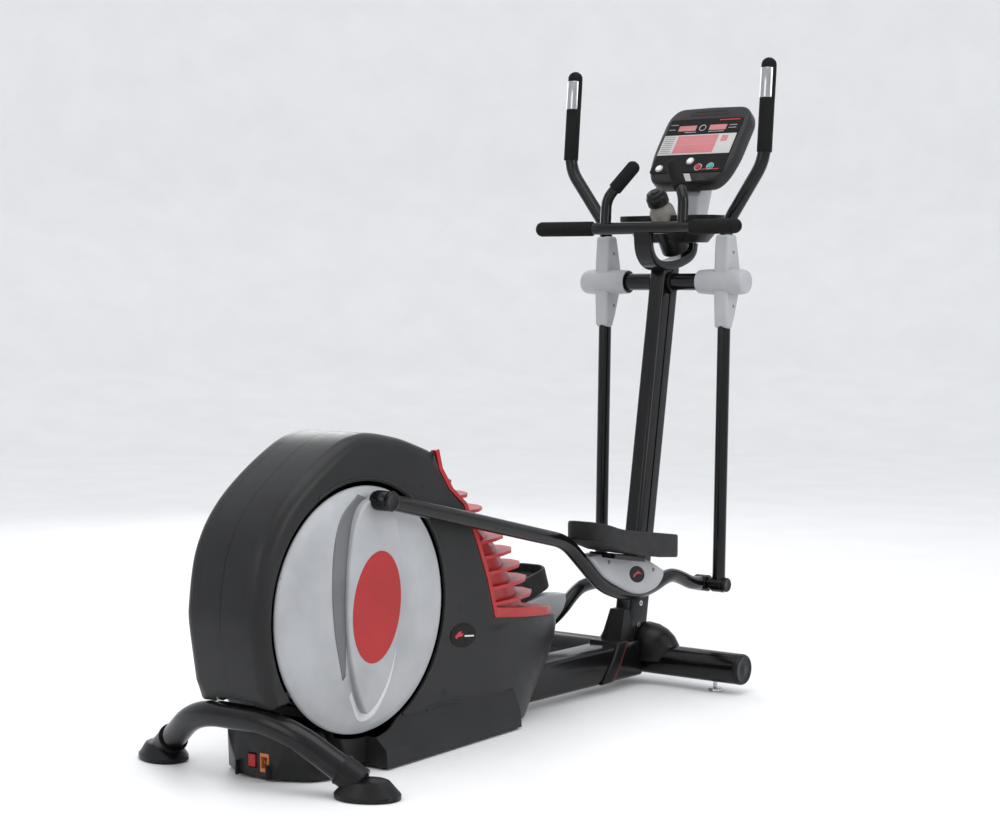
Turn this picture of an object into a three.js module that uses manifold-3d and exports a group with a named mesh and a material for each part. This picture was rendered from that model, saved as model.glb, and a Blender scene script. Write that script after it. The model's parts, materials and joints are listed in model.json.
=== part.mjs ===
// Elliptical trainer: rear-drive machine with a crank housing, two pedal arms, two swing arms,
// a mast with a fixed handlebar, a bottle tray and a console. Millimetres, +Z up.
// +Y points from the crank housing to the console, +X to the user's right.
import * as THREE from 'three';
import { mergeVertices } from 'three/addons/utils/BufferGeometryUtils.js';
import Module from 'manifold-3d';

const wasm = await Module();
wasm.setup();
const { Manifold } = wasm;

// ---------------------------------------------------------------- driving dimensions
const ORIGIN_Y = 905; // the drawing's zero is between the rear feet; the frame's is the box centre
const GAP = 0.3; // between neighbouring pieces
const SIDES = { left: -1, right: 1 };

const CRANK = { y: 200, z: 370, radius: 255 };
const DISC_RADIUS = 287;
const SWING = { x: 203, y: 1632, z: 1126 }; // swing arm pivot
const JOINT_Y = { left: 1612, right: 1609 }; // lower joint at rest
const JOINT_Z = 279;
const ARM_PITCH = { left: 20.5, right: 0 }; // degrees, rear end down

const HOUSING_HALF = 120;
const WALL = 3;
const BASE = { half: 45, low: 25, high: 125, rear: 100, front: 1462 };
const FRONT_TUBE = { y: 1510, z: 67, radius: 42.5, half: 335 };
const BAR = { y: 1525, z: 1277, radius: 17, corner: 140, half: 335, endY: 1483 };
const PULLEY_X = 85; // belt plane
const BELT = { width: 20, thick: 3, clear: 1.2 };
const BIG_PULLEY = { y: CRANK.y, z: CRANK.z, radius: 150 };
const SMALL_PULLEY = { y: 582, z: 290, radius: 20 };
const IDLER_RADIUS = 25;
const FRAME_WALL = 3; // of the frame's steel tubes

// ---------------------------------------------------------------- materials
function material(color, roughness, metalness) {
  return new THREE.MeshStandardMaterial({ color, roughness, metalness });
}
const FINISH = {
  blackPaint: material(0x202022, 0.3, 0.4),
  charcoal: material(0x37383a, 0.5, 0),
  blackPlastic: material(0x1b1b1c, 0.45, 0),
  foam: material(0x171717, 0.9, 0),
  silver: material(0xb9bcc0, 0.4, 0.1),
  red: material(0xb52226, 0.4, 0),
  steel: material(0x9a9ca0, 0.3, 1),
  castIron: material(0x4a4b4d, 0.6, 0.8),
  rubber: material(0x141414, 0.85, 0),
  bottle: material(0x77736d, 0.5, 0),
  amber: material(0xb5602a, 0.5, 0),
  white: material(0xdedede, 0.4, 0),
  teal: material(0x2f9c93, 0.4, 0),
};

// ---------------------------------------------------------------- solids from geometries
function solidOf(geometry) {
  const bare = geometry.clone();
  bare.deleteAttribute('normal');
  bare.deleteAttribute('uv');
  const welded = mergeVertices(bare, 1e-3);
  const index = welded.index.array;
  const triangles = [];
  for (let i = 0; i < index.length; i += 3) {
    const [a, b, c] = [index[i], index[i + 1], index[i + 2]];
    if (a !== b && b !== c && c !== a) triangles.push(a, b, c);
  }
  const vertProperties = Float32Array.from(welded.attributes.position.array);
  return new Manifold(new wasm.Mesh({ numProp: 3, vertProperties, triVerts: Uint32Array.from(triangles) }));
}

function geometryOf(solid) {
  const mesh = solid.getMesh();
  const geometry = new THREE.BufferGeometry();
  geometry.setAttribute('position', new THREE.BufferAttribute(mesh.vertProperties, 3));
  geometry.setIndex(new THREE.BufferAttribute(mesh.triVerts, 1));
  geometry.computeVertexNormals();
  return geometry;
}

function join(...solids) {
  return solids.reduce((sum, next) => sum.add(next));
}

function cut(solid, ...tools) {
  return tools.reduce((rest, tool) => rest.subtract(tool), solid);
}

function bothSides(solid) {
  return solid.add(solid.mirror([1, 0, 0]));
}

function outline(points) {
  return new THREE.Shape(points.map(([a, b]) => new THREE.Vector2(a, b)));
}

function rounded(a0, a1, b0, b1, r) {
  const shape = new THREE.Shape();
  shape.moveTo(a0 + r, b0).lineTo(a1 - r, b0).absarc(a1 - r, b0 + r, r, -Math.PI / 2, 0);
  shape.lineTo(a1, b1 - r).absarc(a1 - r, b1 - r, r, 0, Math.PI / 2);
  shape.lineTo(a0 + r, b1).absarc(a0 + r, b1 - r, r, Math.PI / 2, Math.PI);
  shape.lineTo(a0, b0 + r).absarc(a0 + r, b0 + r, r, Math.PI, Math.PI * 1.5);
  return shape;
}

function box(x0, x1, y0, y1, z0, z1) {
  const geometry = new THREE.BoxGeometry(x1 - x0, y1 - y0, z1 - z0);
  return solidOf(geometry.translate((x0 + x1) / 2, (y0 + y1) / 2, (z0 + z1) / 2));
}

function extruded(shape, depth, { bevel = 0, inset = 0, segments = 3 } = {}) {
  const settings = { depth, curveSegments: segments, bevelEnabled: bevel > 0 || inset > 0 };
  if (settings.bevelEnabled) {
    settings.depth = depth - 2 * bevel;
    settings.bevelSize = bevel;
    settings.bevelThickness = bevel;
    settings.bevelOffset = -bevel - inset;
    settings.bevelSegments = 1;
  }
  return new THREE.ExtrudeGeometry(shape, settings).translate(0, 0, bevel);
}

// a prism whose outline lies in the Y-Z plane
function prismX(shape, x0, x1, options) {
  const turn = new THREE.Matrix4().set(0, 0, 1, x0, 1, 0, 0, 0, 0, 1, 0, 0, 0, 0, 0, 1);
  return solidOf(extruded(shape, x1 - x0, options).applyMatrix4(turn));
}

// a prism whose outline lies in the X-Z plane
function prismY(shape, y0, y1, options) {
  const turn = new THREE.Matrix4().set(1, 0, 0, 0, 0, 0, -1, y1, 0, 1, 0, 0, 0, 0, 0, 1);
  return solidOf(extruded(shape, y1 - y0, options).applyMatrix4(turn));
}

// a prism whose outline lies in the X-Y plane
function prismZ(shape, z0, z1, options) {
  return solidOf(extruded(shape, z1 - z0, options).translate(0, 0, z0));
}

function rod(from, to, radius, sides = 16, endRadius = radius) {
  const a = new THREE.Vector3(...from);
  const b = new THREE.Vector3(...to);
  const geometry = new THREE.CylinderGeometry(endRadius, radius, a.distanceTo(b), sides);
  const along = new THREE.Vector3().subVectors(b, a).normalize();
  const turn = new THREE.Quaternion().setFromUnitVectors(new THREE.Vector3(0, 1, 0), along);
  const middle = a.add(b).multiplyScalar(0.5);
  return solidOf(geometry.applyQuaternion(turn).translate(middle.x, middle.y, middle.z));
}

function rodX(x0, x1, y, z, radius, sides = 16, endRadius = radius) {
  return rod([x0, y, z], [x1, y, z], radius, sides, endRadius);
}

function ball(x, y, z, radius, sides = 10) {
  return solidOf(new THREE.SphereGeometry(radius, sides, sides / 2).translate(x, y, z));
}

// corner points joined by straight stretches and rounded bends
function bentLine(corners, bend, arcSteps = 4) {
  const points = corners.map((corner) => new THREE.Vector3(...corner));
  const line = [points[0]];
  for (let i = 1; i < points.length - 1; i += 1) {
    const corner = points[i];
    const back = Math.min(bend, corner.distanceTo(points[i - 1]) * 0.49);
    const ahead = Math.min(bend, corner.distanceTo(points[i + 1]) * 0.49);
    const start = points[i - 1].clone().sub(corner).setLength(back).add(corner);
    const end = points[i + 1].clone().sub(corner).setLength(ahead).add(corner);
    line.push(...new THREE.QuadraticBezierCurve3(start, corner, end).getPoints(arcSteps));
  }
  line.push(points.at(-1));
  return line;
}

// a path whose rings stand exactly on its points
class PointPath extends THREE.Curve {
  constructor(points) {
    super();
    this.points = points;
  }

  getUtoTmapping(u) {
    return u;
  }

  getPoint(t) {
    const at = Math.min(Math.max(t, 0), 1) * (this.points.length - 1);
    const low = Math.min(Math.floor(at), this.points.length - 2);
    return this.points[low].clone().lerp(this.points[low + 1], at - low);
  }

  getTangent(t) {
    const at = Math.round(t * (this.points.length - 1));
    const here = this.points[at];
    const tangent = new THREE.Vector3();
    if (at > 0) tangent.add(here.clone().sub(this.points[at - 1]).normalize());
    if (at < this.points.length - 1) tangent.add(this.points[at + 1].clone().sub(here).normalize());
    return tangent.normalize();
  }
}

function tube(corners, radius, { bend = 60, sides = 10, arcSteps = 3 } = {}) {
  const line = bentLine(corners, bend, arcSteps);
  const section = new THREE.Shape().absarc(0, 0, radius, 0, Math.PI * 2);
  const settings = { steps: line.length - 1, extrudePath: new PointPath(line), curveSegments: sides / 2 };
  return solidOf(new THREE.ExtrudeGeometry(section, settings));
}

// a flat bar of the given thickness that follows a bent line in the Y-Z plane
function bandShape(corners, thick, bend, arcSteps = 4) {
  const line = bentLine(corners.map(([y, z]) => [y, z, 0]), bend, arcSteps);
  const path = new PointPath(line);
  const offset = (side) => line.map((point, i) => {
    const along = path.getTangent(i / (line.length - 1));
    return [point.x - (side * along.y * thick) / 2, point.y + (side * along.x * thick) / 2];
  });
  return outline([...offset(1), ...offset(-1).reverse()]);
}

// ---------------------------------------------------------------- base and stabilizers
const STABILIZER = { radius: 30, foot: [308, -13, 31], shoulder: [133, -82, 151] };
const STABILIZER_LINE = [STABILIZER.foot, STABILIZER.shoulder].map(([x, y, z]) => [-x, y, z]);
STABILIZER_LINE.push(STABILIZER.shoulder, STABILIZER.foot);

function stabilizerTube(radius) {
  return tube(STABILIZER_LINE, radius, { bend: 90, sides: 12 });
}

function beam(grow, rear, front) {
  const half = BASE.half + grow;
  const section = rounded(-half, half, BASE.low - grow, BASE.high + grow, 12);
  return prismY(section, rear, front, { segments: 2 });
}

function baseFrame() {
  const post = box(-28, 28, 150, 250, BASE.high - 5, CRANK.z);
  const bearingTube = rodX(-60, 60, CRANK.y, CRANK.z, 38);
  const plates = bothSides(box(34, 42, 535, 630, BASE.high - 5, SMALL_PULLEY.z + 30));
  const idler = idlerCentre();
  const idlerBracket = join(
    box(50, 58, idler.y - 25, idler.y + 25, BASE.high - 40, idler.z + 20),
    box(20, 58, idler.y - 25, idler.y + 25, BASE.high - 40, BASE.high - 10),
  );
  const stemSide = outline([[105, 120], [180, 120], [120, 215], [-20, 215], [-20, 189], [90, 189]]);
  const stem = prismX(stemSide, -20, 20);
  const bores = [
    rodX(-70, 70, CRANK.y, CRANK.z, 30, 24),
    rodX(-60, 60, SMALL_PULLEY.y, SMALL_PULLEY.z, 9),
    rodX(40, 60, idler.y, idler.z, 8.5),
    stabilizerTube(STABILIZER.radius + GAP),
  ];
  const hollowBeam = cut(beam(0, BASE.rear, BASE.front), beam(-FRAME_WALL, BASE.rear - 1, BASE.front + 1));
  return cut(join(hollowBeam, post, bearingTube, plates, idlerBracket, stem), ...bores);
}

function rearStabilizer() {
  const { radius } = STABILIZER;
  return cut(stabilizerTube(radius), stabilizerTube(radius - FRAME_WALL));
}

const FOOT = { low: [76, 56], high: [50, 40], rim: 14, height: 40, turn: 22, sleeve: 35 };

function rearFoot() {
  const [top, end] = [STABILIZER.shoulder, STABILIZER.foot].map((p) => new THREE.Vector3(...p));
  const onLeg = (t) => top.clone().lerp(end, t).toArray();
  const sleeve = rod(onLeg(0.76), onLeg(1.02), FOOT.sleeve);
  const oval = ([half, depth]) => new THREE.Shape().absellipse(0, 0, half, depth, 0, Math.PI * 2);
  const pad = (size, z0, z1) => prismZ(oval(size), z0, z1, { segments: 8 });
  const flare = Manifold.hull([pad(FOOT.low, 0, FOOT.rim), pad(FOOT.high, FOOT.rim, FOOT.height)]);
  const base = flare.rotate([0, 0, FOOT.turn]).translate([end.x + 14, end.y + 4, 0]);
  const floor = box(end.x - 200, end.x + 200, -200, 200, -100, 0);
  const bore = stabilizerTube(STABILIZER.radius + GAP);
  return cut(join(sleeve, base), bore, bore.translate([GAP, 0, -GAP]), floor);
}

const LEVELLER = { x: 257, sole: 8, stem: 6, reach: 46 };

function frontStabilizer() {
  const { y, z, radius, half } = FRONT_TUBE;
  const inside = rodX(-half - 1, half + 1, y, z, radius - FRAME_WALL, 32);
  const body = cut(rodX(-half, half, y, z, radius, 32), inside);
  const { x, stem } = LEVELLER;
  const bore = rod([x, y, z - radius - 5], [x, y, z], stem + 0.5, 16);
  return cut(body, bore, bore.mirror([1, 0, 0]));
}

function frontCap() {
  const { y, z, radius, half } = FRONT_TUBE;
  return rodX(half + GAP, half + 15, y, z, radius, 32, radius - 4);
}

function levellingFoot() {
  const { x, sole, stem, reach } = LEVELLER;
  const pad = rod([x, FRONT_TUBE.y, 0], [x, FRONT_TUBE.y, sole], 22, 24, 20);
  return join(pad, rod([x, FRONT_TUBE.y, sole - 1], [x, FRONT_TUBE.y, reach], stem, 16));
}

// ---------------------------------------------------------------- mast and its covers
const MAST = { low: [1483, 250], high: [1636, 1157], half: 25, depth: 84 };

function mastY(z) {
  return THREE.MathUtils.mapLinear(z, MAST.low[1], MAST.high[1], MAST.low[0], MAST.high[0]);
}

// a stretch of the leaning mast, grown all round
function mastPost(grow, low, high, bevel = 0) {
  const half = MAST.depth / 2 + grow;
  const side = outline([[mastY(low) - half, low], [mastY(low) + half, low], [mastY(high) + half, high],
    [mastY(high) - half, high]]);
  return prismX(side, -MAST.half - grow, MAST.half + grow, { bevel });
}

function mast() {
  const top = MAST.high[1];
  const low = BASE.high + GAP;
  const foot = mastPost(4, low, 262, 5);
  const grooves = [-1, 1].map((side) => prismX(outline([[mastY(300) - 3, 300], [mastY(300) + 3, 300],
    [mastY(1110) + 3, 1110], [mastY(1110) - 3, 1110]]), side * MAST.half - 3, side * MAST.half + 3));
  const hollow = mastPost(-8, low - 1, 1080);
  const axleBore = rodX(-60, 60, SWING.y, SWING.z, 24 + GAP, 24);
  return cut(join(mastPost(0, 180, top, 5), foot), ...grooves, hollow, axleBore);
}

function mastBoot() {
  const wedge = outline([[1262, 26], [1310, 26], [1342, 60], [1384, 133], [1340, 133], [1316, 90]]);
  const collar = prismX(wedge, -51, 51, { bevel: 4 });
  const hump = Manifold.hull([
    box(-34, 34, 1372, 1436, BASE.high + GAP, BASE.high + 4),
    box(-24, 24, 1404, 1438, 150, 214),
  ]);
  const mastRoom = mastPost(4 + GAP, 100, 262, 5);
  return cut(join(collar, hump), beam(GAP, 1200, 1500), mastRoom);
}

function fairing() {
  const dome = solidOf(new THREE.SphereGeometry(1, 20, 12).scale(104, 62, 86).translate(30, 1512, 84));
  const { y, z, radius } = FRONT_TUBE;
  const keep = box(29 + GAP, 134, 1440, 1600, 68, 300);
  return cut(dome.intersect(keep), rodX(0, 300, y, z, radius + GAP, 32), mast(), mastBoot(), baseFrame());
}

// ---------------------------------------------------------------- housing
const BORDER = [[470, 722], [484, 675], [524, 623], [577, 583], [630, 481], [670, 390], [700, 292]];
const NOSE = {
  rear: [702, 289],
  front: [1030, 252],
  tips: [[9, 930], [80, 990], [140, 1042], [210, 1080], [262, 1072]],
};

// how far the nose stands out in front of the side border, at a height
function noseDepth(z) {
  return THREE.MathUtils.mapLinear(z, 289, 650, 285, 60) + 40 * Math.sin(((z - 289) / 361) * Math.PI);
}

function borderY(z) {
  const upper = BORDER.findIndex((point, i) => i > 0 && z >= point[1]);
  const [[y0, z0], [y1, z1]] = [BORDER[Math.max(upper, 1) - 1], BORDER[Math.max(upper, 1)]];
  return THREE.MathUtils.mapLinear(z, z0, z1, y0, y1);
}

function housingSide() {
  const shape = new THREE.Shape();
  shape.moveTo(-85, 176).lineTo(-111, 224);
  const back = [[-132, 336], [-135, 400], [-109, 530], [-35, 636], [105, 735], [214, 775], [347, 760],
    [470, 722]];
  shape.splineThru(back.map(([y, z]) => new THREE.Vector2(y, z)));
  BORDER.slice(1).forEach(([y, z]) => shape.lineTo(y, z));
  shape.lineTo(700, 8).lineTo(158, 8).lineTo(80, 150).lineTo(-20, 186);
  return shape;
}

function halfEllipse(halfWidth, rear, tip) {
  const shape = new THREE.Shape();
  shape.moveTo(-halfWidth, rear - 60).lineTo(halfWidth, rear - 60).lineTo(halfWidth, rear);
  shape.absellipse(0, rear, halfWidth, tip - rear, 0, Math.PI);
  return shape;
}

// round in plan, longest a little below the sloping red plate
function nose(inset) {
  const { rear: [y0, z0], front: [y1, z1], tips } = NOSE;
  const plan = (tip) => halfEllipse(HOUSING_HALF - inset, y0, tip - inset);
  const slices = [...tips, [z0, y1]].map(([z, tip]) => prismZ(plan(tip), z - 1, z, { segments: 6 }));
  const slope = (z1 - z0) / (y1 - y0);
  const sole = tips[0][0] + inset;
  const room = outline([[500, sole], [1200, sole], [1200, z0 + slope * (1200 - y0) - inset],
    [y0, z0 - inset], [500, z0 - inset]]);
  return Manifold.hull(slices).intersect(prismX(room, -200, 200));
}

const SKIRT = { low: 5.5, high: 99, rear: [215, 186], front: [775, 146] };

function skirt(inset) {
  const { low, high, rear, front } = SKIRT;
  const section = (wide) => outline([[90, high - inset], [HOUSING_HALF - inset, high - inset],
    [wide - 4 - inset, 46 - inset], [wide - inset, low + inset], [90, low + inset]]);
  const end = (wide, from) => prismY(section(wide), from, from + 1);
  return Manifold.hull([end(rear[1], rear[0] + inset), end(front[1], front[0] - inset - 1)]);
}

function housingSolid(inset) {
  const half = HOUSING_HALF - inset;
  const body = prismX(housingSide(), -half, half, { bevel: 12, inset, segments: 3 });
  return join(body, nose(inset), bothSides(skirt(inset)));
}

function shellHalf() {
  const skin = cut(housingSolid(0), housingSolid(WALL));
  const front = outline([...BORDER.map(([y, z]) => [y - 8, z]), [760, 292], [760, 760], [470, 760]]);
  const beamChannel = box(-BASE.half - 1, BASE.half + 1, BASE.rear - 60, 1180, 0, BASE.high + 1);
  const opened = cut(skin,
    rodX(104, 220, CRANK.y, CRANK.z, DISC_RADIUS + 11, 48),
    prismX(front, -106, 106),
    beamChannel,
    box(-60, 60, -140, 110, 150, 192),
    stabilizerTube(STABILIZER.radius + 1));
  return opened.intersect(box(GAP / 2, 300, -300, 1200, 0, 900));
}

const TONGUES = { count: 9, first: 318, pitch: 40, thick: 8 };

// the sloping plate at the grille's foot
function grillePlate() {
  const [[y0, z0], [y1, z1]] = [NOSE.rear, NOSE.front];
  const side = outline([[y0, z0 + GAP], [y1, z1 + GAP], [y1 + 6, z1 + 20], [y0, z0 + 26]]);
  const plan = prismZ(halfEllipse(HOUSING_HALF - 1, 702, NOSE.front[0] + 30), 200, 340, { segments: 6 });
  return plan.intersect(prismX(side, -200, 200));
}

function grille() {
  const border = outline([...BORDER.map(([y, z]) => [y + GAP, z]),
    ...BORDER.map(([y, z]) => [y + 13, z + 3]).reverse()]);
  const strips = bothSides(prismX(border, 104, HOUSING_HALF - 1));
  const levels = Array.from({ length: TONGUES.count }, (_, i) => TONGUES.first + i * TONGUES.pitch);
  const tongue = (z) => {
    const rear = borderY(z) + 4;
    const plan = halfEllipse(HOUSING_HALF - 3, rear, rear - 4 + noseDepth(z));
    return prismZ(plan, z, z + TONGUES.thick, { segments: 4 });
  };
  const slice = (z, inset) => {
    const rear = borderY(z) + 4;
    const tip = rear + Math.max(noseDepth(z) - 55 - inset, 8);
    return prismZ(halfEllipse(98 - inset, rear, tip), z, z + 1, { segments: 3 });
  };
  const heights = [296, 460, 650];
  const core = (inset) => join(...heights.slice(1).map((z, i) => Manifold.hull([slice(heights[i], inset),
    slice(z, inset)])));
  const housing = outline([...BORDER.map(([y, z]) => [y + GAP, z]), [700 + GAP, 200], [300, 200],
    [300, 722]]);
  const clearOfHousing = prismX(housing, -200, 200);
  const topBridge = box(-110, 110, 487, 500, 652, 672);
  const body = join(strips, ...levels.map(tongue), core(0), grillePlate(), topBridge);
  return cut(body, clearOfHousing, core(4).translate([0, -4, 0]));
}

const POWER = { face: -30, low: 6, high: 104, inlet: [19, 46, 20, 64], rocker: [-18, 4, 28, 58] };

function powerBox() {
  const { face, low, high, inlet, rocker } = POWER;
  const layer = (corners, z0, z1) => {
    const right = corners.map(([x, y]) => [x, y]);
    const left = corners.map(([x, y]) => [-x, y]).reverse();
    return prismZ(outline([...right, ...left]), z0, z1);
  };
  const skirtLayer = layer([[50, face], [132, 19], [150, 60], [150, 88]], low, 30);
  const topLayer = layer([[52, face], [98, -18], [100, 88]], high - 8, high);
  const flanges = bothSides(box(46, 49, face - 14, face + 2, low, low + 34));
  return cut(join(Manifold.hull([skirtLayer, topLayer]), flanges),
    box(rocker[0] - 2, rocker[1] + 2, face - 10, face + 12, rocker[2] - 2, rocker[3] + 2),
    box(inlet[0], inlet[1], face - 10, face + 26, inlet[2], inlet[3]));
}

function powerInlet() {
  const { face, inlet: [x0, x1, z0, z1] } = POWER;
  const body = box(x0 + GAP, x1 - GAP, face - 3, face + 26 - GAP, z0 + GAP, z1 - GAP);
  const socket = box(x0 + 4, x1 - 4, face - 10, face + 16, z0 + 9, z1 - 9);
  const middle = (x0 + x1) / 2;
  const pins = [-6, 0, 6].map((x) => box(middle + x - 1, middle + x + 1, face + 4, face + 17, 38, 46));
  return join(cut(body, socket), ...pins);
}

function powerSwitch() {
  const { face, rocker: [x0, x1, z0, z1] } = POWER;
  return box(x0, x1, face - 3, face + 3, z0 + 0.5, z1 - 0.5);
}

// ---------------------------------------------------------------- drive inside the housing
function idlerCentre() {
  const span = Math.hypot(SMALL_PULLEY.y - BIG_PULLEY.y, SMALL_PULLEY.z - BIG_PULLEY.z);
  const slope = Math.atan2(SMALL_PULLEY.z - BIG_PULLEY.z, SMALL_PULLEY.y - BIG_PULLEY.y);
  const lean = Math.acos((BIG_PULLEY.radius - SMALL_PULLEY.radius) / span);
  const normal = slope - lean; // outward normal of the lower belt run
  const reach = BIG_PULLEY.radius + BELT.clear + BELT.thick + 2 * GAP + IDLER_RADIUS;
  const along = 0.6 * Math.sqrt(span ** 2 - (BIG_PULLEY.radius - SMALL_PULLEY.radius) ** 2);
  return {
    y: BIG_PULLEY.y + reach * Math.cos(normal) - along * Math.sin(normal),
    z: BIG_PULLEY.z + reach * Math.sin(normal) + along * Math.cos(normal),
  };
}

function pulleyPair(grow, halfWidth) {
  const [from, to] = [PULLEY_X - halfWidth, PULLEY_X + halfWidth];
  const sides = (radius) => (radius > 100 ? 32 : 16);
  return [BIG_PULLEY, SMALL_PULLEY].map(({ y, z, radius }) => (
    rodX(from, to, y, z, radius + grow, sides(radius))));
}

function driveBelt() {
  const outer = Manifold.hull(pulleyPair(BELT.clear + BELT.thick, BELT.width / 2));
  return cut(outer, Manifold.hull(pulleyPair(BELT.clear, BELT.width)));
}

function drivePulley() {
  const [wheel] = pulleyPair(0, 11);
  const windows = Array.from({ length: 6 }, (_, i) => {
    const angle = (i * Math.PI) / 3;
    return rodX(60, 110, CRANK.y + 92 * Math.cos(angle), CRANK.z + 92 * Math.sin(angle), 32, 10);
  });
  return cut(wheel, rodX(60, 110, CRANK.y, CRANK.z, 15 + GAP, 16), ...windows);
}

function crankAxle() {
  return rodX(-104, 104, CRANK.y, CRANK.z, 15, 16);
}

function crankBearing() {
  const ring = rodX(40, 58, CRANK.y, CRANK.z, 30 - GAP, 24);
  return cut(ring, rodX(30, 70, CRANK.y, CRANK.z, 15 + GAP, 24));
}

function flywheel() {
  const { y, z } = SMALL_PULLEY;
  const rim = cut(rodX(-22, 22, y, z, 108, 32), rodX(-30, -6, y, z, 86, 24), rodX(6, 30, y, z, 86, 24));
  const spindle = rodX(-60, 97, y, z, 8, 14);
  return join(rim, rodX(-30, 30, y, z, 22), spindle, pulleyPair(0, 11)[1]);
}

function idlerWheel() {
  const { y, z } = idlerCentre();
  return join(rodX(PULLEY_X - 10, PULLEY_X + 10, y, z, IDLER_RADIUS, 20), rodX(44, 80, y, z, 8, 12));
}

function brakeMagnet() {
  const { y, z } = SMALL_PULLEY;
  const ring = cut(rodX(-30, 30, y, z, 132, 32), rodX(-40, 40, y, z, 112, 32));
  const wedge = outline([[y, z], [y - 190, z + 70], [y - 110, z + 190]]);
  return ring.intersect(prismX(wedge, -40, 40));
}

// the teardrop island, symmetric about the disc's Y axis, tip down
function islandShape(grow) {
  const shape = new THREE.Shape();
  shape.moveTo(-20, -238 - grow);
  shape.bezierCurveTo(-60 - grow, -190, -95 - grow, -60, -78 - grow, 90);
  shape.bezierCurveTo(-66 - grow, 190, -50 - grow, 255, 15, 262 + grow);
  shape.bezierCurveTo(72 + grow, 255, 82 + grow, 190, 84 + grow, 90);
  shape.bezierCurveTo(92 + grow, -60, 60 + grow, -200, -20, -238 - grow);
  return shape;
}

function crankDisc() {
  const profile = [[0, 112], [DISC_RADIUS - 3, 112], [DISC_RADIUS, 116], [DISC_RADIUS - 4, 123], [255, 133],
    [190, 140], [100, 144], [0, 145]];
  const dish = new THREE.LatheGeometry(profile.map(([r, x]) => new THREE.Vector2(r, x)), 40);
  dish.rotateZ(-Math.PI / 2).translate(0, CRANK.y, CRANK.z);
  const island = prismX(islandShape(0), 130, 155, { bevel: 4, segments: 4 }).translate([0, CRANK.y, CRANK.z]);
  const axleHole = rodX(90, 104 + GAP, CRANK.y, CRANK.z, 15 + GAP, 16);
  const hub = cut(rodX(98, 113, CRANK.y, CRANK.z, 40, 24), axleHole);
  return join(solidOf(dish), island, hub);
}

// ---------------------------------------------------------------- pedal arms, drawn as the right one
const PIN = { y: CRANK.y + 15, z: CRANK.z + CRANK.radius };
const ARM_CORNERS = [[PIN.y, PIN.z], [930, 462], [1095, 330], [1205, 294], [1330, 294], [1425, 322],
  [1480, 312], [1550, 284], [JOINT_Y.right, JOINT_Z]];
const ARM_TUBE = 19;

function armX(y) {
  return THREE.MathUtils.mapLinear(y, PIN.y, JOINT_Y.right, 186, 150);
}

function armTube(radius) {
  return tube(ARM_CORNERS.map(([y, z]) => [armX(y), y, z]), radius, { bend: 48, arcSteps: 2 });
}

function pedalBracket() {
  const foot = prismX(outline([[1060, 424], [1200, 400], [1200, 386], [1060, 410]]), 150, 232);
  const block = prismX(outline([[1095, 412], [1170, 400], [1160, 292], [1105, 334]]), 145, 166);
  return join(foot, block);
}

function pedalArm() {
  const boss = rodX(157, 206, PIN.y, PIN.z, 23.5, 24);
  const sleeve = rodX(130, 170, JOINT_Y.right, JOINT_Z, 23, 24);
  const bore = rodX(120, 240, JOINT_Y.right, JOINT_Z, 17, 24);
  return cut(join(armTube(ARM_TUBE), boss, sleeve, pedalBracket()), bore);
}

function armCover() {
  const shape = new THREE.Shape();
  shape.moveTo(1005, 418).bezierCurveTo(1100, 420, 1250, 400, 1358, 344);
  shape.bezierCurveTo(1350, 298, 1270, 280, 1205, 300).bezierCurveTo(1110, 330, 1050, 368, 1005, 418);
  const body = prismX(shape, 138, 190, { bevel: 5, segments: 4 });
  const slot = prismX(outline([[1055, 450], [1205, 450], [1205, 350], [1175, 285], [1090, 285], [1055, 360]]),
    144.5, 166.5);
  const foot = prismX(outline([[1058, 480], [1202, 480], [1202, 385], [1058, 409]]), 100, 300);
  return cut(body, armTube(ARM_TUBE + GAP), slot, foot);
}

const PEDAL = { rear: 947, front: 1322, inner: 140, outer: 275, wall: 7 };

function pedal() {
  const { rear, front, inner, outer, wall } = PEDAL;
  const top = [[rear, 516], [rear + 75, 494], [rear + 135, 481], [rear + 240, 468], [front, 450]];
  const low = [[front, 390], [rear + 255, 402], [rear + 115, 428], [rear + 8, 466]];
  const body = prismX(outline([...low.reverse(), ...top.reverse()]), inner, outer);
  const plan = prismZ(rounded(inner, outer, rear, front, 45), 350, 600, { segments: 2 });
  const inside = rounded(inner + wall, outer - wall, rear + wall, front - wall, 38);
  const tread = prismZ(inside, 350, 600, { segments: 2 });
  const room = prismX(outline([[rear - 25, 500], [rear + 75, 472], [rear + 135, 459], [rear + 240, 444],
    [front + 20, 422], [front + 20, 600], [rear - 25, 600]]), inner - 10, outer + 15);
  return cut(body.intersect(plan), tread.intersect(room));
}

// the lower joint's place at rest, and the arm's pitch about it
function settle(solid, side) {
  const turned = solid.translate([0, -JOINT_Y.right, -JOINT_Z]).rotate([ARM_PITCH[side], 0, 0]);
  const placed = turned.translate([0, JOINT_Y[side], JOINT_Z]);
  return side === 'left' ? placed.mirror([1, 0, 0]) : placed;
}

// ---------------------------------------------------------------- swing arms (drawn as the right one)
const HANDLE = { bend: [328, 1628, 1457], end: [328, 1650.5, 1703], tip: [328, 1652, 1721] };
const HUB = { inner: 122, outer: 275, radius: 29, wall: 7 };

function swingLine(side) {
  return [[SWING.x, JOINT_Y[side], JOINT_Z], [SWING.x, SWING.y, SWING.z], [SWING.x, 1636, 1282],
    HANDLE.bend, HANDLE.tip];
}

function swingTube(side, radius) {
  const line = swingLine(side);
  return tube([...line.slice(0, 4), HANDLE.end], radius, { bend: 42 });
}

function hub(grow) {
  return rodX(HUB.inner + 4 - grow, HUB.outer - 6 + grow, SWING.y, SWING.z, HUB.radius + grow, 20);
}

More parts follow.
